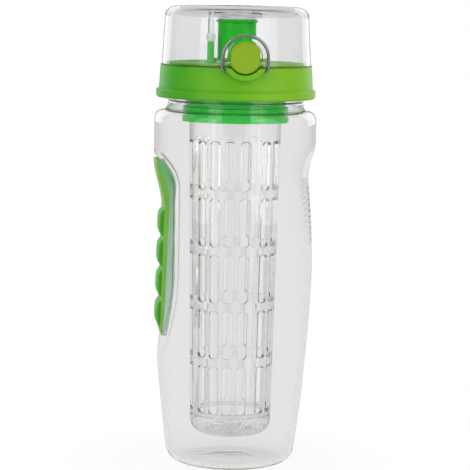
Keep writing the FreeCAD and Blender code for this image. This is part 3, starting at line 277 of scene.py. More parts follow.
def moulded(name, colour, other, drift_mm, grain_mm, grain_height_mm, rough, ior=1.49, across=0.0, sheen=0.0,
            soft=0.0, shine=0.2, seam_mm=None, back_light_tones=None):
    """A coloured moulding whose colour drifts between two tones, with a fine grain and rounded edges. Across
    is painted light: how far the tone shifts towards the other tone with each millimetre to the right."""
    material, tree = new_material(name)
    place = add_node(tree, "ShaderNodeTexCoord").outputs["Object"]
    side = add_node(tree, "ShaderNodeSeparateXYZ", None, {"Vector": place}).outputs
    drift = noise(tree, place, drift_mm, detail=3.0)
    # The across term is painted light, turning the tone lighter along X on top of the random drift.
    drift_and_painted_light = work_out(tree, "MULTIPLY_ADD", side["X"], across / MM, drift)
    tone = two_tones(tree, drift_and_painted_light, colour, other, TONE_FROM, TONE_TO)
    if seam_mm:
        # Painted shadow: the band at the seam under the cap is darkened.
        tone = painted_seam_shadow(tree, tone, side["Z"], seam_mm)
    if back_light_tones:
        # Painted light: the side facing the axis turns pale and bluish, for light seen through the clear
        # recess wall.
        tone = painted_back_light(tree, tone, side["Z"], *back_light_tones)
    grain = noise(tree, place, grain_mm, detail=2.0)
    gloss = stretch(tree, grain, rough - GLOSS_SPREAD, rough + GLOSS_SPREAD)
    edge = add_node(tree, "ShaderNodeBevel", {"samples": BEVEL_SAMPLES, "Radius": MOULD_EDGE_MM * MM})
    bump = add_node(tree, "ShaderNodeBump", {"Strength": 1.0, "Distance": grain_height_mm * MM},
                    {"Height": grain, "Normal": edge.outputs["Normal"]})
    shader = add_node(tree, "ShaderNodeBsdfPrincipled",
                      {"IOR": ior, "Specular IOR Level": shine, "Sheen Weight": sheen,
                       "Subsurface Weight": soft, "Subsurface Radius": (1.0, 1.0, 1.0),
                       "Subsurface Scale": SOFT_REACH_MM * MM},
                      {"Base Color": tone, "Roughness": gloss, "Normal": bump.outputs["Normal"]})
    add_node(tree, "ShaderNodeOutputMaterial", None, {"Surface": shader.outputs[0]})
    return material


print("tones run from", TONE_FROM, "to", TONE_TO, "of the drift")

# %% Moulded plastics and rubbers
CAP_SEAM_MM = 220.4
# Polypropylene of the lid, from a grained mould: satin, with soft broad highlights. Its tone is painted
# lighter and yellower to the right, and the seam under the cap's foot has a painted shadow.
lid_polypropylene = moulded("grained_green_polypropylene", "#47A31E", "#7DB724", drift_mm=60.0, grain_mm=0.6,
                            grain_height_mm=0.006, rough=0.42, across=0.006, shine=0.13, seam_mm=CAP_SEAM_MM)
# The spout comes from a polished mould: deeper green and glossier.
spout_polypropylene = moulded("polished_green_polypropylene", "#02AC08", "#08B40E", drift_mm=30.0,
                              grain_mm=0.8, grain_height_mm=0.003, rough=0.16, shine=0.1)
# The infuser's collar is the same green, painted brighter to stand in for the light it gets through the
# bottle.
collar_polypropylene_painted_bright = moulded("green_polypropylene_painted_bright", "#10C432", "#1ACC3A", drift_mm=30.0, grain_mm=0.8,
                               grain_height_mm=0.003, rough=0.13, shine=0.6)
# The button is the same plastic with more yellow in the pigment, from a satin mould.
button_polypropylene = moulded("satin_lime_polypropylene", "#82A51F", "#88AB24", drift_mm=25.0, grain_mm=0.5,
                               grain_height_mm=0.006, rough=0.4)
# The pad of the grip is a hard satin moulding. Its back, where it faces the bottle, gets painted light that
# is paler and bluer, most of all towards the foot, for the light seen there through the clear recess wall.
grip_polypropylene = moulded("satin_grip_polypropylene", "#6CA836", "#76B03C", drift_mm=30.0, grain_mm=0.6,
                             grain_height_mm=0.006, rough=0.4, back_light_tones=("#C2DED6", "#70BA82"))
# Thermoplastic rubber of the finger strip: matt, a little dusty at grazing angles.
strip_rubber = moulded("matt_green_rubber", "#45A82A", "#4FAF2E", drift_mm=25.0, grain_mm=0.45,
                       grain_height_mm=0.012, rough=0.6, ior=1.5, sheen=0.12)
# Silicone: milky, soft to the light, never quite white.
silicone = moulded("milky_silicone", "#C4CCCB", "#CCD2D1", drift_mm=15.0, grain_mm=0.4,
                   grain_height_mm=0.006, rough=0.45, ior=1.41, soft=0.3)
print("seven mouldings")

# %% [markdown]
# ## Steel
# Stainless wire is drawn through a die, which leaves fine marks on it. It is clearly metal, so the shader
# is metallic, and a fine noise varies its tone and its gloss as those marks do.

# %% Drawn steel
DIE_MARK_MM = 1.2
drawn_steel, steel_tree = new_material("drawn_stainless_steel")
steel_place = add_node(steel_tree, "ShaderNodeTexCoord").outputs["Object"]
die_marks = noise(steel_tree, steel_place, DIE_MARK_MM, detail=5.0)
steel_shader = add_node(steel_tree, "ShaderNodeBsdfPrincipled", {"Metallic": 1.0},
                        {"Base Color": two_tones(steel_tree, die_marks, "#5A6362", "#8C9491"),
                         "Roughness": stretch(steel_tree, die_marks, low=0.12, high=0.26)})
add_node(steel_tree, "ShaderNodeOutputMaterial", None, {"Surface": steel_shader.outputs[0]})
print("steel ready")

# %% [markdown]
# ## Pieces that stay as drawn
# The lid, the cap, the spout and the infuser have the right shape in the frame. They stay as they are and
# only get their finish.

# %% Materials on the frame's own pieces
FINISHES = {
    "lid_ring": lid_polypropylene,
    "spout": spout_polypropylene,
    "vent_valve": spout_polypropylene,
    "infuser_collar": collar_polypropylene_painted_bright,
    "release_button": button_polypropylene,
    "flip_cap": cap_copolyester,
    "infuser_basket": infuser_copolyester,
    "basket_cap": hammered_copolyester,
    "lock_bail": drawn_steel,
    "hinge_pin": drawn_steel,
}
for node, finish in FINISHES.items():
    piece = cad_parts[node]
    piece.data.materials.clear()
    piece.data.materials.append(finish)
print(len(FINISHES), "pieces of the frame have their finish")

# %% [markdown]
# ## Building meshes
# Every piece made here is a set of rings of points, joined ring to ring. One function makes the object,
# hangs it on the body it moves with, and hides the piece of the frame it stands in for.

# %% Place a piece


def place_piece(name, points, faces, body, node, finish):
    """A smooth mesh from points in millimetres, in place of a node of the frame. It rides on a body, or on
    none yet."""
    mesh = bpy.data.meshes.new(name)
    mesh.from_pydata([(x * MM, y * MM, z * MM) for x, y, z in points], [], faces)
    mesh.materials.append(finish)
    mesh.shade_smooth()
    piece = bpy.data.objects.new(name, mesh)
    bpy.context.scene.collection.objects.link(piece)
    if body:
        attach(piece, body)
    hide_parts(node)
    print(name, len(points), "points")
    return piece


print("sizes are given in mm and built in m, times", MM)

# %% Helpers for rings and steps


def join_rings(count, size, closed=False):
    """Quads between neighbouring rings of the same size, and back to the first ring if closed."""
    faces = []
    for ring in range(count if closed else count - 1):
        here, there = ring * size, (ring + 1) % count * size
        for at in range(size):
            after = (at + 1) % size
            faces.append((here + at, here + after, there + after, there + at))
    return faces


def join_with_ends(count, size):
    """Quads between neighbouring rings, and a flat face on the first and the last."""
    first, last = tuple(range(size))[::-1], tuple(range((count - 1) * size, count * size))
    return join_rings(count, size) + [first, last]


def spread(low, high, step):
    """Even values from low to high, about a step apart."""
    count = max(int(round(abs(high - low) / step)), 1)
    return [low + (high - low) * number / count for number in range(count + 1)]


def held(share):
    """A share held between nought and one."""
    return min(max(share, 0.0), 1.0)


def smooth(share):
    """A share from nought to one, eased at both ends."""
    share = held(share)
    return share * share * (3 - 2 * share)


print("a smooth step at a quarter:", smooth(0.25))

# %% [markdown]
# ## The bottle
# A blown bottle has no sharp edge anywhere: the hot plastic is pressed against a cold mould and bridges
# every corner. A cut made with solids gives crisp rims, so the wall is worked out here as a radius for each
# angle and height instead. The recess for the fingers is a flat floor across the left side, and the one for
# the thumb is a shallow, slightly bowed floor on the right. A soft minimum joins those floors to the round
# wall, which gives the wide, rolled rim of the real one. The outside and the inside are two such skins,
# joined at the mouth.

# %% Sizes of the bottle, in millimetres
BODY_RADIUS = 44.5
BASE_RADIUS = 35.9
BASE_CORNER = 9.0
FOOT_INNER = 20.0
PUSH_UP = 0.9
TAPER_TOP = 140.0
SHOULDER_TOP = 197.5
SHOULDER_ROUND = 7.4
ROOT_TOP = 199.8
NECK_RADIUS = 36.8
NECK_TOP = 217.5
WALL = 2.2
TAPER_IN = BODY_RADIUS - BASE_RADIUS
TAPER_ROUND = ((TAPER_TOP - BASE_CORNER) ** 2 + TAPER_IN ** 2) / (2 * TAPER_IN)

# A recess has a straight floor that swings out on an arc above its turn, and for the fingers below its
# ease as well. Only a share of each arc is used, and only on the recess's own side of the bottle.
RECESS_SIDE = 0.3
ROUND_SHARE = 0.95
FINGER_FLOOR = 35.3
FINGER_TURN = 154.0
FINGER_EASE = 107.0
FINGER_LOWEST = 40.0
FINGER_TOP_ROUND = 19.396
FINGER_FOOT_ROUND = 152.2
FINGER_RIM = 2.6

THUMB_FLOOR = 40.4
THUMB_TURN = 159.0
THUMB_LOWEST = 90.0
THUMB_ROUND = 32.494
THUMB_RISE, THUMB_RUN = 3.8, 41.0
THUMB_SLOPE = THUMB_RISE / THUMB_RUN
THUMB_RIM = 2.6
THUMB_BOW = 0.5
RIB_FIRST, RIB_PITCH, RIB_COUNT = 153.6, 3.2, 10
RIB_HALF, RIB_HEIGHT = 1.2, 0.12

THREAD_START, THREAD_PITCH, THREAD_TURNS, THREAD_DEPTH = 203.9, 5.0, 1.75, 1.6
THREAD_ROOT, THREAD_CREST, THREAD_FADE = 2.2, 1.0, 0.05
BEAD_MIDDLE, BEAD_HALF, BEAD_OUT = 201.6, 1.1, 0.9

print("widest", BODY_RADIUS * 2, "mm, mouth", (NECK_RADIUS - WALL) * 2, "mm")

# %% Radius of the wall


def arc_off(radius, way):
    """How far an arc has left its tangent after a given way along it."""
    return radius - math.sqrt(radius ** 2 - way ** 2)


def wall_radius(height):
    """The round wall's outer radius below the shoulder."""
    if height >= TAPER_TOP:
        return BODY_RADIUS
    return BODY_RADIUS - arc_off(TAPER_ROUND, TAPER_TOP - height)


def finger_floor(height):
    """How far from the axis the floor of the finger recess lies, or None outside its reach."""
    if FINGER_TURN <= height < FINGER_TURN + ROUND_SHARE * FINGER_TOP_ROUND:
        return FINGER_FLOOR + arc_off(FINGER_TOP_ROUND, height - FINGER_TURN)
    if FINGER_EASE <= height < FINGER_TURN:
        return FINGER_FLOOR
    if FINGER_LOWEST < height < FINGER_EASE:
        return FINGER_FLOOR + arc_off(FINGER_FOOT_ROUND, FINGER_EASE - height)
    return None


def thumb_floor(height, ribbed):
    """The same for the thumb recess, with its ribs on the outside."""
    if THUMB_TURN <= height < THUMB_TURN + ROUND_SHARE * THUMB_ROUND:
        return THUMB_FLOOR + arc_off(THUMB_ROUND, height - THUMB_TURN)
    if not THUMB_LOWEST < height < THUMB_TURN:
        return None
    floor = THUMB_FLOOR + (THUMB_TURN - height) * THUMB_SLOPE
    for number in range(RIB_COUNT if ribbed else 0):
        off = (height - RIB_FIRST + number * RIB_PITCH) / RIB_HALF
        if abs(off) < 1:
            floor += RIB_HEIGHT * (1 - off * off)
    return floor


def soft_minimum(one, other, width):
    """The smaller of two values, with a rounded change from one to the other."""
    near = max(width - abs(one - other), 0.0) / width
    return min(one, other) - near * near * width / 4


def recessed(radius, height, angle, inset, ribbed):
    """A skin's radius with the two recesses cut in, for a skin that lies inset from the outside."""
    across = math.cos(angle)
    finger = finger_floor(height)
    if across < -RECESS_SIDE and finger is not None:
        radius = soft_minimum(radius, (finger - inset) / -across, FINGER_RIM)
    thumb = thumb_floor(height, ribbed)
    if across > RECESS_SIDE and thumb is not None:
        radius = soft_minimum(radius, (thumb - inset) / across ** THUMB_BOW, THUMB_RIM)
    return radius


print("wall at the foot of the taper:", round(wall_radius(BASE_CORNER), 2), "mm from the axis")

# %% Thread and bead of the neck


def thread_lift(height, angle):
    """How far the screw thread stands out of the neck: a ridge that climbs one pitch to a turn."""
    best = 0.0
    for turn in (0, 1):
        run = angle / (2 * math.pi) + turn
        ends = held(run / THREAD_FADE) * held((THREAD_TURNS - run) / THREAD_FADE)
        off = abs(height - THREAD_START - run * THREAD_PITCH)
        flank = (THREAD_ROOT / 2 - off) / (THREAD_ROOT / 2 - THREAD_CREST / 2)
        best = max(best, ends * THREAD_DEPTH * smooth(flank))
    return best


def bead_lift(height):
    """How far the bead below the thread stands out of the neck."""
    return BEAD_OUT * smooth((BEAD_HALF - abs(height - BEAD_MIDDLE)) / (BEAD_HALF / 2))


print("thread reaches", round(NECK_RADIUS + THREAD_DEPTH, 2), "mm from the axis")

# %% [markdown]
# The skins need rows of points where the shape changes quickly: close together over the thumb ribs and the
# thread, and far apart on the plain wall. Each row is a ring round the axis, from the middle of the base,
# up the outside, over the lip of the mouth and down the inside.

# %% Curves of the bottle


def arc(middle, radius, start, end, steps):
    """Points of an arc in the (radius, height) plane, by angle from the horizontal in degrees."""
    return [(middle[0] + radius * math.cos(math.radians(a)), middle[1] + radius * math.sin(math.radians(a)))
            for a in spread(start, end, abs(end - start) / steps)]


def bent(start, pull, end, steps):
    """Points of a curve that leaves its start towards a pull point and reaches its end from there."""
    return [tuple((1 - t) ** 2 * a + 2 * t * (1 - t) * b + t * t * c for a, b, c in zip(start, pull, end))
            for t in spread(0.0, 1.0, 1 / steps)]


def dome(radius):
    """The pushed-up middle of the base, flat at its rim."""
    share = min(radius / FOOT_INNER, 1.0)
    return PUSH_UP * (1 + math.cos(math.pi * share)) / 2


print("base pushed up by", dome(0.0), "mm")

# %% Rows of the bottle
ROUND = 240
LIP = 0.5
HUB, FLOOR_STEP = 2.0, 2.5
FLOOR_EDGE, FLOOR_INSIDE_EDGE, LIP_INSIDE = 1.0, 1.5, 3.0
WALL_LOW, RIBS_LOW, RIBS_HIGH, WALL_HIGH = 11.0, 121.0, 156.0, 188.5
LOWER_STEP, RIBS_STEP, UPPER_STEP, INSIDE_STEP = 2.2, 0.4, 1.1, 1.6
NECK_STEP, NECK_INSIDE_STEP = 0.3, 2.0
ROOT_PULL, ROOT_INSIDE_PULL = (37.4, 198.1), (35.6, 196.3)
rows = []


def add_rows(profile, kind="plain"):
    """Adds a row for each (radius, height) point of a profile. The kind says what shapes the ring."""
    rows.extend((radius, height, kind) for radius, height in profile)


corner = (BASE_RADIUS - BASE_CORNER, BASE_CORNER)
shoulder = (BODY_RADIUS - SHOULDER_ROUND, SHOULDER_TOP - SHOULDER_ROUND)
neck_inside = NECK_RADIUS - WALL
wall_heights = (spread(WALL_LOW, RIBS_LOW, LOWER_STEP)[:-1] + spread(RIBS_LOW, RIBS_HIGH, RIBS_STEP)[:-1]
                + spread(RIBS_HIGH, WALL_HIGH, UPPER_STEP))
neck_heights = spread(ROOT_TOP + NECK_STEP, NECK_TOP - 2 * NECK_STEP, NECK_STEP)
inside_heights = spread(WALL_HIGH, WALL_LOW, INSIDE_STEP)

add_rows([(radius, dome(radius)) for radius in spread(HUB, corner[0] - FLOOR_EDGE, FLOOR_STEP)])
add_rows(arc(corner, BASE_CORNER, start=-90, end=0, steps=12))
add_rows([(wall_radius(height), height) for height in wall_heights], "outside")
outer_arc = arc(shoulder, SHOULDER_ROUND, start=6, end=62, steps=9)
add_rows(outer_arc + bent(outer_arc[-1], ROOT_PULL, (NECK_RADIUS, ROOT_TOP), steps=8)[1:])
add_rows([(NECK_RADIUS, height) for height in neck_heights], "neck")
add_rows(arc((NECK_RADIUS - LIP, NECK_TOP - LIP), LIP, start=10, end=90, steps=3))
add_rows(arc((neck_inside + LIP, NECK_TOP - LIP), LIP, start=90, end=180, steps=3))
add_rows([(neck_inside, height) for height in spread(NECK_TOP - LIP_INSIDE, ROOT_TOP, NECK_INSIDE_STEP)])
inner_arc = arc(shoulder, SHOULDER_ROUND - WALL, start=55, end=5, steps=7)
add_rows(bent((neck_inside, ROOT_TOP - LIP), ROOT_INSIDE_PULL, inner_arc[0], steps=8) + inner_arc[1:])
add_rows([(wall_radius(height) - WALL, height) for height in inside_heights], "inside")
add_rows(arc(corner, BASE_CORNER - WALL, start=0, end=-90, steps=10))
floor_radii = spread(corner[0] - FLOOR_INSIDE_EDGE, HUB, FLOOR_STEP)
add_rows([(radius, dome(radius) + WALL) for radius in floor_radii])
print(len(rows), "rows of", ROUND, "points")

# %% Build the bottle
bottle_points = []
for radius, height, kind in rows:
    for number in range(ROUND):
        angle = 2 * math.pi * number / ROUND
        here = radius
        if kind == "outside":
            here = recessed(radius, height, angle, 0.0, True)
        elif kind == "inside":
            here = recessed(radius, height, angle, WALL, False)
        elif kind == "neck":
            here = radius + max(bead_lift(height), thread_lift(height, angle))
        bottle_points.append((here * math.cos(angle), here * math.sin(angle), height))
bottle_faces = join_rings(len(rows), ROUND)
under, floor_middle = len(bottle_points), len(bottle_points) + 1
bottle_points += [(0.0, 0.0, PUSH_UP), (0.0, 0.0, PUSH_UP + WALL)]
last = (len(rows) - 1) * ROUND
for number in range(ROUND):
    after = (number + 1) % ROUND
    bottle_faces.append((under, after, number))
    bottle_faces.append((floor_middle, last + number, last + after))
place_piece("clear_bottle", bottle_points, bottle_faces, "bottle", "bottle_body",
            blown_copolyester)

# %% [markdown]
# ## The grip
# A hard pad is bonded to the floor of the finger recess, and a rubber strip with four waves is set in it,
# one for each finger. Both are stacks of flat sections, one for each height: straight at the back, where
# the section follows whatever it lies on, and rolled at the two front edges, because that roll is what
# makes them look moulded and not sawn. The waves rise quickly under each finger's upper side and run out
# slowly below it.

# %% Sizes of the grip, in millimetres
BOND = 0.05
THINNEST = 0.1
PAD_HALF, PAD_TOP, PAD_FOOT, PAD_ROLL = 13.0, 168.4, 72.0, 1.6
PAD_TOP_THICK, PAD_FOOT_THICK, PAD_FOOT_BEVEL = 3.9, 5.3, 0.6
PAD_SEAT_HALF = 9.0
PAD_EDGE = [(70.5, 39.6), (90.0, 38.2), (123.0, 37.3), (150.0, 36.1), (168.4, 43.3)]
BROW_FOOT, BROW_OUT, BROW_START = 145.0, 4.7, 0.12
WAVE_TOP, WAVE_FOOT, WAVE_COUNT = 141.6, 75.0, 4
WAVE_NOTCH, WAVE_DEPTH, WAVE_SINK, WAVE_CROWN = 0.5, 1.5, 0.5, 0.8
WAVE_RISE, WAVE_FALL = 3.6, 6.0
STRIP_HALF, STRIP_DEPTH, STRIP_ROLL = 8.5, 1.6, 0.9
print("four waves,", round((WAVE_TOP - WAVE_FOOT) / WAVE_COUNT, 2), "mm each")

# %% Backs and fronts of the grip
GUESSES = 4


def recess_floor(across, height):
    """How far out the bottle's skin lies in the finger recess, beside the middle by a given amount. The angle
    depends on the answer, so it is guessed and corrected a few times."""
    out = FINGER_FLOOR
    for _ in range(GUESSES):
        angle = math.pi - math.atan2(across, out)
        radius = recessed(wall_radius(height), height, angle, 0.0, False)
        out = math.sqrt(radius ** 2 - across ** 2)
    return out


def pad_back(across, height):
    """The pad's back: on the recess in the middle, and standing off it towards the long edges."""
    seat = recess_floor(across, height) + BOND
    for (low, out_low), (high, out_high) in zip(PAD_EDGE, PAD_EDGE[1:]):
        if low <= height <= high:
            edge = out_low + (out_high - out_low) * (height - low) / (high - low)
    return seat + max(edge - seat, 0.0) * smooth((across - PAD_SEAT_HALF) / (PAD_HALF - PAD_SEAT_HALF))


def pad_face(height):
    """How far out the pad's straight face lies at a height."""
    lean = (PAD_FOOT_THICK - PAD_TOP_THICK) / (BROW_FOOT - WAVE_FOOT)
    return FINGER_FLOOR + PAD_TOP_THICK + (BROW_FOOT - height) * lean


def pad_outside(height):
    """The face with its two ends: a brow that swings out at the top and a short bevel at the foot."""
    if height > BROW_FOOT:
        share = BROW_START + (1 - BROW_START) * (height - BROW_FOOT) / (PAD_TOP - BROW_FOOT)
        return pad_face(BROW_FOOT) + BROW_OUT * smooth(share)
    if height < WAVE_FOOT:
        return pad_face(WAVE_FOOT) - PAD_FOOT_BEVEL * smooth((WAVE_FOOT - height) / (WAVE_FOOT - PAD_FOOT))
    return pad_face(height)


def strip_back(across, height):
    """The strip's back, which lies flat in the pad."""
    return pad_face(height) - STRIP_DEPTH


def wave_outside(height):
    """The strip's outside: four waves with narrow notches between them."""
    pitch = (WAVE_TOP - WAVE_FOOT) / WAVE_COUNT
    within = (height - WAVE_FOOT) % pitch
    low = held((within - WAVE_NOTCH) / WAVE_FALL)
    high = held((pitch - within - WAVE_NOTCH) / WAVE_RISE)
    crown = WAVE_CROWN * (1 - (2 * within / pitch - 1) ** 2)
    swell = math.sqrt(low * (2 - low) * high * (2 - high))
    return pad_face(height) - WAVE_SINK + (WAVE_DEPTH + WAVE_SINK + crown) * swell


print("pad's face leans out from", round(pad_face(BROW_FOOT), 1), "to", round(pad_face(WAVE_FOOT), 1), "mm")

# %% The pad and the finger strip
BACK_STEP, PAD_STEP, STRIP_STEP = 1.3, 0.8, 0.25
ROLL_STEPS, ROLL_SHARE = 6, 0.8


def sections(name, heights, half, roll, back, front, node, finish):
    """Sections stacked along Z, each with a given back and front, and rolled front edges."""
    sides = spread(-half, half, BACK_STEP)
    bends = [math.radians(a) for a in spread(0, 90, 90 / ROLL_STEPS)]
    points = []
    for height in heights:
        outside = max(front(height), back(half, height) + THINNEST)
        bend_radius = min(roll, ROLL_SHARE * (outside - back(half, height)))
        edge = [(outside - bend_radius * (1 - math.sin(bend)), half - bend_radius * (1 - math.cos(bend)))
                for bend in bends]
        ring = [(back(abs(y), height), y) for y in sides]
        ring += edge + [(out, -y) for out, y in reversed(edge)]
        points += [(-out, y, height) for out, y in ring]
    faces = join_with_ends(len(heights), len(points) // len(heights))
    return place_piece(name, points, faces, "bottle", node, finish)


sections("grip_pad_moulding", spread(PAD_FOOT, PAD_TOP, PAD_STEP), PAD_HALF, PAD_ROLL, pad_back, pad_outside,
         "grip_pad", grip_polypropylene)
sections("finger_strip_rubber", spread(WAVE_FOOT, WAVE_TOP, STRIP_STEP), STRIP_HALF, STRIP_ROLL, strip_back,
         wave_outside, "finger_strip", strip_rubber)

# %% [markdown]
# ## Wound springs
# Two springs hide in the lid: one throws the cap open, one returns the button. A spring is a wire along a
# helix, so the path comes from the formula of a helix and a ring of points is set square to it at each
# step. The cap's spring is wound about the hinge with a leg at each end and rides on no body; the button's
# spring lies between the button and its bracket and rides on the lid.

# %% Helpers for wire
SPRING_WIRE = 0.35
WIRE_SIDES, TURN_STEPS = 10, 28


def wire_along(name, path, body, node):
    """A round wire along a path of points, with flat ends."""
    points = []
    across = None
    for number, here in enumerate(path):
        heading = (path[min(number + 1, len(path) - 1)] - path[max(number - 1, 0)]).normalized()
        if across is None:
            across = heading.orthogonal().normalized()
        across = (across - heading * across.dot(heading)).normalized()
        other = heading.cross(across)
        for side in range(WIRE_SIDES):
            angle = 2 * math.pi * side / WIRE_SIDES
            points.append(tuple(here + (across * math.cos(angle) + other * math.sin(angle)) * SPRING_WIRE))
    faces = join_with_ends(len(path), WIRE_SIDES)
    return place_piece(name, points, faces, body, node, drawn_steel)


def helix(radius, pitch, turns):
    """Points of a helix along X, a given number to a turn."""
    return [Vector((pitch * angle / (2 * math.pi), radius * math.cos(angle), radius * math.sin(angle)))
            for angle in spread(0.0, turns * 2 * math.pi, 2 * math.pi / TURN_STEPS)]


print("wire", SPRING_WIRE * 2, "mm thick")

# %% Spring of the cap
HINGE = Vector((0.0, 45.03, 219.6))
COIL_RADIUS, COIL_PITCH, COIL_TURNS, COIL_LEG = 1.85, 1.2, 3.942, 7.0
COIL_TILT = 195.6
coil = helix(COIL_RADIUS, COIL_PITCH, COIL_TURNS)
cap_leg = coil[0] + (coil[0] - coil[1]).normalized() * COIL_LEG
lid_leg = coil[-1] + (coil[-1] - coil[-2]).normalized() * COIL_LEG
half_coil = Vector((COIL_PITCH * COIL_TURNS / 2, 0.0, 0.0))
tilted = Matrix.Rotation(math.radians(COIL_TILT), 3, "X")
cap_spring = wire_along("cap_torsion_spring",
                        [tilted @ at + HINGE - half_coil for at in [cap_leg] + coil + [lid_leg]],
                        None, "cap_spring")
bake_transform(cap_spring)

# %% Spring of the button
BUTTON_BACK, BRACKET_FRONT, SPRING_AXIS = 42.05, 32.0, 229.5
SPRING_RADIUS, SPRING_TURNS, BUTTON_TRAVEL = 2.2, 6.0, 2.2
spring_length = BUTTON_BACK - BRACKET_FRONT
spring_pitch = (spring_length - 2 * SPRING_WIRE) / SPRING_TURNS
quarter_turn = Matrix.Rotation(math.radians(90), 3, "Z")
spring_start = Vector((0.0, SPRING_WIRE - BUTTON_BACK, SPRING_AXIS))
spring_path = [quarter_turn @ at + spring_start for at in helix(SPRING_RADIUS, spring_pitch, SPRING_TURNS)]
button_spring = wire_along("button_return_spring", spring_path, "lid", "button_spring")
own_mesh(button_spring)
print("the button's spring gives", BUTTON_TRAVEL, "mm of its", round(spring_length, 2))

# %% [markdown]
# ## Seals
# The five soft seals are rings and plugs turned about an axis. Silicone is moulded with a small radius on
# every corner, so each outline is rounded before it is turned.

# %% Helpers for turned pieces
STRAIGHT = math.radians(178)
LONGEST_SHARE = 0.45
ARC_STEPS = 5


def rounded(corners, radius):
    """A closed outline with its corners rounded by arcs. A corner may bring its own radius as a third
    value."""
    outline = []
    for number, corner in enumerate(corners):
        here = Vector(corner[:2])
        before = Vector(corners[number - 1][:2]) - here
        after = Vector(corners[(number + 1) % len(corners)][:2]) - here
        wanted = corner[2] if len(corner) > 2 else radius
        opening = before.angle(after)
        if wanted <= 0 or opening > STRAIGHT:
            outline.append(tuple(here))
            continue
        back = min(wanted / math.tan(opening / 2), LONGEST_SHARE * before.length,
                   LONGEST_SHARE * after.length)
        real = back * math.tan(opening / 2)
        start = here + before.normalized() * back
        end = here + after.normalized() * back
        inward = (before.normalized() + after.normalized()).normalized()
        middle = here + inward * (real / math.sin(opening / 2))
        first, last = start - middle, end - middle
        turn = math.pi - opening
        for share in spread(0.0, 1.0, 1 / ARC_STEPS):
            bend = (first * math.sin((1 - share) * turn) + last * math.sin(share * turn)) / math.sin(turn)
            outline.append(tuple(middle + bend))
    return outline


def turned_piece(name, corners, radius, body, node, middle=(0.0, 0.0), sides=96):
    """A ring or plug turned from a rounded outline of (radius, height) corners, counterclockwise."""
    outline = rounded(corners, radius)
    points = []
    for r, z in outline:
        for side in range(sides):
            angle = 2 * math.pi * side / sides
            points.append((middle[0] + r * math.cos(angle), middle[1] + r * math.sin(angle), z))
    faces = join_rings(len(outline), sides, closed=True)
    return place_piece(name, points, faces, body, node, silicone)


def band(inner, outer, low, high):
    """The corners of a plain ring's section."""
    return [(inner, low), (outer, low), (outer, high), (inner, high)]


print("corners rounded in", ARC_STEPS, "steps")

# %% Turned seals
GASKET_ROUND, SMALL_ROUND = 0.4, 0.3
# The plugs are rings as well, round a hole that is too fine to see.
PINHOLE = 0.02
VENT_MIDDLE = (-14.8, -6.0)
NECK_SEAL, COLLAR_SEAL, SPOUT_SEAL_INSIDE = (34.4, 37.0), (25.2, 27.8), 10.6
COLLAR_TOP, LID_CEILING = 217.3, 219.1
SPOUT_SEAT, SPOUT_SEAL_TOP = 221.5, 222.5
# Corners of the two plugs as radius, height and rounding.
SPOUT_PLUG = [
    (PINHOLE, 243.6, 0.0), (7.0, 243.6, 0.3), (7.6, 244.95, 0.2), (10.65, 244.95, 0.5), (10.65, 249.15, 0.5),
    (8.4, 249.15, 0.2), (8.4, 251.55, 0.4), (PINHOLE, 251.55, 0.0)]
VENT_PLUG = [
    (PINHOLE, 233.3, 0.0), (2.5, 233.3, 0.5), (2.5, 237.5, 0.3), (1.7, 237.5, 0.1), (1.7, 234.9, 0.1),
    (PINHOLE, 234.9, 0.0)]
turned_piece("neck_gasket_ring", band(*NECK_SEAL, NECK_TOP, LID_CEILING), GASKET_ROUND, "neck_seal",
             "neck_gasket", sides=160)
turned_piece("collar_gasket_ring", band(*COLLAR_SEAL, COLLAR_TOP, LID_CEILING), GASKET_ROUND,
             "infuser_seal", "collar_gasket", sides=128)
spout_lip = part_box("spout_ring")
turned_piece("spout_ring_seal", band(SPOUT_SEAL_INSIDE, spout_lip[1][0] / MM, SPOUT_SEAT, SPOUT_SEAL_TOP),
             SMALL_ROUND, "lid", "spout_ring")
turned_piece("spout_plug", SPOUT_PLUG, SMALL_ROUND, "cap", "spout_seal")
turned_piece("vent_plug", VENT_PLUG, SMALL_ROUND, "cap", "vent_stopper", middle=VENT_MIDDLE, sides=48)

# %% [markdown]
# ## Floor and room
# The bottle stands on a pale sweep in a white room. For the camera, and for rays that clear plastic sends
# on, the room is plain white, and what is mirrored in the plastic is a little darker. For the light that
# falls on the bottle it is only a soft grey, so colours come out as they are written. The floor keeps a
# little real shade under the bottle and is plain white further out.

# %% White room
MIRRORED_WHITE = 0.6
FILL_LIGHT = 0.28
WHITE = (1.0, 1.0, 1.0, 1.0)
# A count of bounces below this is none so far.
NONE_YET = 0.5


def plain_sight(tree):
    """One where a ray from the camera gets here straight or through clear plastic, a little less where it was
    mirrored on the way, and nought for the light that falls on the bottle."""
    rays = add_node(tree, "ShaderNodeLightPath").outputs
    sent_on = work_out(tree, "ADD", rays["Is Camera Ray"], rays["Is Transmission Ray"], clamp=True)
    unmirrored = work_out(tree, "LESS_THAN", rays["Glossy Depth"], NONE_YET)
    straight = work_out(tree, "MULTIPLY", sent_on, unmirrored)
    seen = work_out(tree, "MULTIPLY_ADD", rays["Is Glossy Ray"], MIRRORED_WHITE, straight, clamp=True)
    direct = work_out(tree, "LESS_THAN", rays["Diffuse Depth"], NONE_YET)
    return work_out(tree, "MULTIPLY", seen, direct)


room = bpy.data.worlds.new("white_room")
bpy.context.scene.world = room
room.use_nodes = True
room_tree = room.node_tree
room_tree.nodes.clear()
fill = add_node(room_tree, "ShaderNodeBackground", {"Color": WHITE, "Strength": FILL_LIGHT})
white = add_node(room_tree, "ShaderNodeBackground", {"Color": WHITE, "Strength": 1.0})
room_light = mixed(room_tree, plain_sight(room_tree), fill.outputs[0], white.outputs[0])
add_node(room_tree, "ShaderNodeOutputWorld", None, {"Surface": room_light})
print("fill light", FILL_LIGHT)

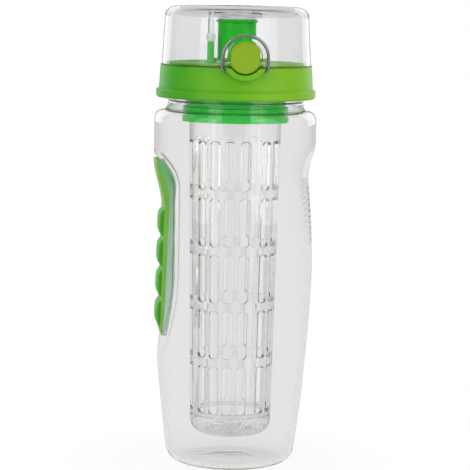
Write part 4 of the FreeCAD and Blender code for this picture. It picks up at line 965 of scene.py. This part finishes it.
# %% Paper floor
FIBRE_MM = 4.0
SHADE_NEAR, SHADE_FAR, NEAR_WHITE = 0.03, 0.1, 0.85
FLOOR_REACH, FLOOR_GAP = 4.0, 0.0002
# Matt white paper: fine fibres, no gloss, and white all over where it runs out of the picture.
paper, paper_tree = new_material("matt_white_paper")
spot = add_node(paper_tree, "ShaderNodeTexCoord").outputs["Object"]
away = add_node(paper_tree, "ShaderNodeVectorMath", {"operation": "LENGTH"}, {0: spot}).outputs["Value"]
fibres = noise(paper_tree, spot, FIBRE_MM, detail=3.0)
fibre_tone = two_tones(paper_tree, fibres, "#EFEFEE", "#F6F6F5")
matt = add_node(paper_tree, "ShaderNodeBsdfDiffuse", None, {"Color": fibre_tone})
glow = add_node(paper_tree, "ShaderNodeEmission", {"Color": WHITE, "Strength": 1.0})
fade = stretch(paper_tree, away, NEAR_WHITE, 1.0, SHADE_NEAR, SHADE_FAR)
pale = mixed(paper_tree, fade, matt.outputs[0], glow.outputs[0])
sheet = mixed(paper_tree, plain_sight(paper_tree), matt.outputs[0], pale)
add_node(paper_tree, "ShaderNodeOutputMaterial", None, {"Surface": sheet})

floor_mesh = bpy.data.meshes.new("paper_floor")
floor_mesh.from_pydata([(-FLOOR_REACH, -FLOOR_REACH, 0), (FLOOR_REACH, -FLOOR_REACH, 0),
                        (FLOOR_REACH, FLOOR_REACH, 0), (-FLOOR_REACH, FLOOR_REACH, 0)], [], [(0, 1, 2, 3)])
floor_mesh.materials.append(paper)
floor = bpy.data.objects.new("paper_floor", floor_mesh)
floor.location.z = -FLOOR_GAP
bpy.context.scene.collection.objects.link(floor)
print("floor", FLOOR_REACH * 2, "m across")

# %% [markdown]
# ## Lamps
# Two tall soft boxes stand left and right of the camera. In the round cap and on the neck each is seen as
# one upright white band, which is what makes clear plastic look clear and round. They are the only lamps
# that are also seen through the plastic, so that the spout and the collar behind it have their highlights.
# A wide soft lamp overhead fills the top, and two weak ones behind keep the far side from going dull. A
# white card far behind is seen only as a mirror image in the flat top of the cap, which would be grey
# without it.

# %% Lamps
CAMERA_TURN = 6.3


def area_lamp(name, place, width, height, radiance, seen_through=False):
    """A rectangular lamp that faces down until it is turned. Sizes are in metres."""
    data = bpy.data.lights.new(name, "AREA")
    data.shape = "RECTANGLE"
    data.size, data.size_y = width, height
    data.energy = radiance * math.pi * width * height
    lamp = bpy.data.objects.new(name, data)
    lamp.location = place
    lamp.visible_camera = False
    lamp.visible_transmission = seen_through
    bpy.context.scene.collection.objects.link(lamp)
    return lamp


def soft_box(name, turn, distance, middle, width, height, radiance, seen_through=False):
    """A lamp at an angle from the camera, seen from above, aimed at the bottle. Positive is to the right."""
    way = math.radians(turn - CAMERA_TURN)
    place = Vector((distance * math.sin(way), -distance * math.cos(way), middle))
    lamp = area_lamp(name, place, width, height, radiance, seen_through)
    lamp.rotation_euler = (Vector((0, 0, middle)) - place).to_track_quat("-Z", "Y").to_euler()
    return lamp


soft_box("left_soft_box", turn=-43.5, distance=1.1, middle=0.66, width=0.6, height=1.3, radiance=2.8,
         seen_through=True)
soft_box("right_soft_box", turn=48.5, distance=1.1, middle=0.66, width=0.68, height=1.3, radiance=2.8,
         seen_through=True)
soft_box("left_back_lamp", turn=-140.0, distance=1.6, middle=0.7, width=0.9, height=1.2, radiance=1.8)
soft_box("right_back_lamp", turn=140.0, distance=1.6, middle=0.7, width=0.9, height=1.2, radiance=1.8)
card = soft_box("white_card_behind", turn=180.0, distance=2.0, middle=0.78, width=0.9, height=0.9,
                radiance=2.2)
card.visible_diffuse = False
area_lamp("overhead_lamp", (0.0, -0.1, 1.4), width=1.0, height=1.0, radiance=0.8)
print("five lamps and a card")

# %% [markdown]
# ## Camera
# The bottle was seen from a little above and from a little to the left of its button, through a long lens.

# %% Camera
CAMERA_DISTANCE, CAMERA_HEIGHT = 1.219, 0.2703
PITCH, ROLL, YAW = 6.74, 1.05, 0.046
SENSOR_MM, LENS_MM = 36.0, 169.9
view_data = bpy.data.cameras.new("long_lens")
view_data.sensor_width = SENSOR_MM
view_data.lens = LENS_MM
camera = bpy.data.objects.new("long_lens", view_data)
turn = math.radians(CAMERA_TURN)
camera.location = (-CAMERA_DISTANCE * math.sin(turn), -CAMERA_DISTANCE * math.cos(turn), CAMERA_HEIGHT)
camera.rotation_euler = (Matrix.Rotation(-turn - math.radians(YAW), 3, "Z")
                         @ Matrix.Rotation(math.radians(90 - PITCH), 3, "X")
                         @ Matrix.Rotation(math.radians(ROLL), 3, "Z")).to_euler()
bpy.context.scene.collection.objects.link(camera)
bpy.context.scene.camera = camera
bpy.context.scene.view_settings.view_transform = "Standard"
print("camera at", [round(v, 3) for v in camera.location])
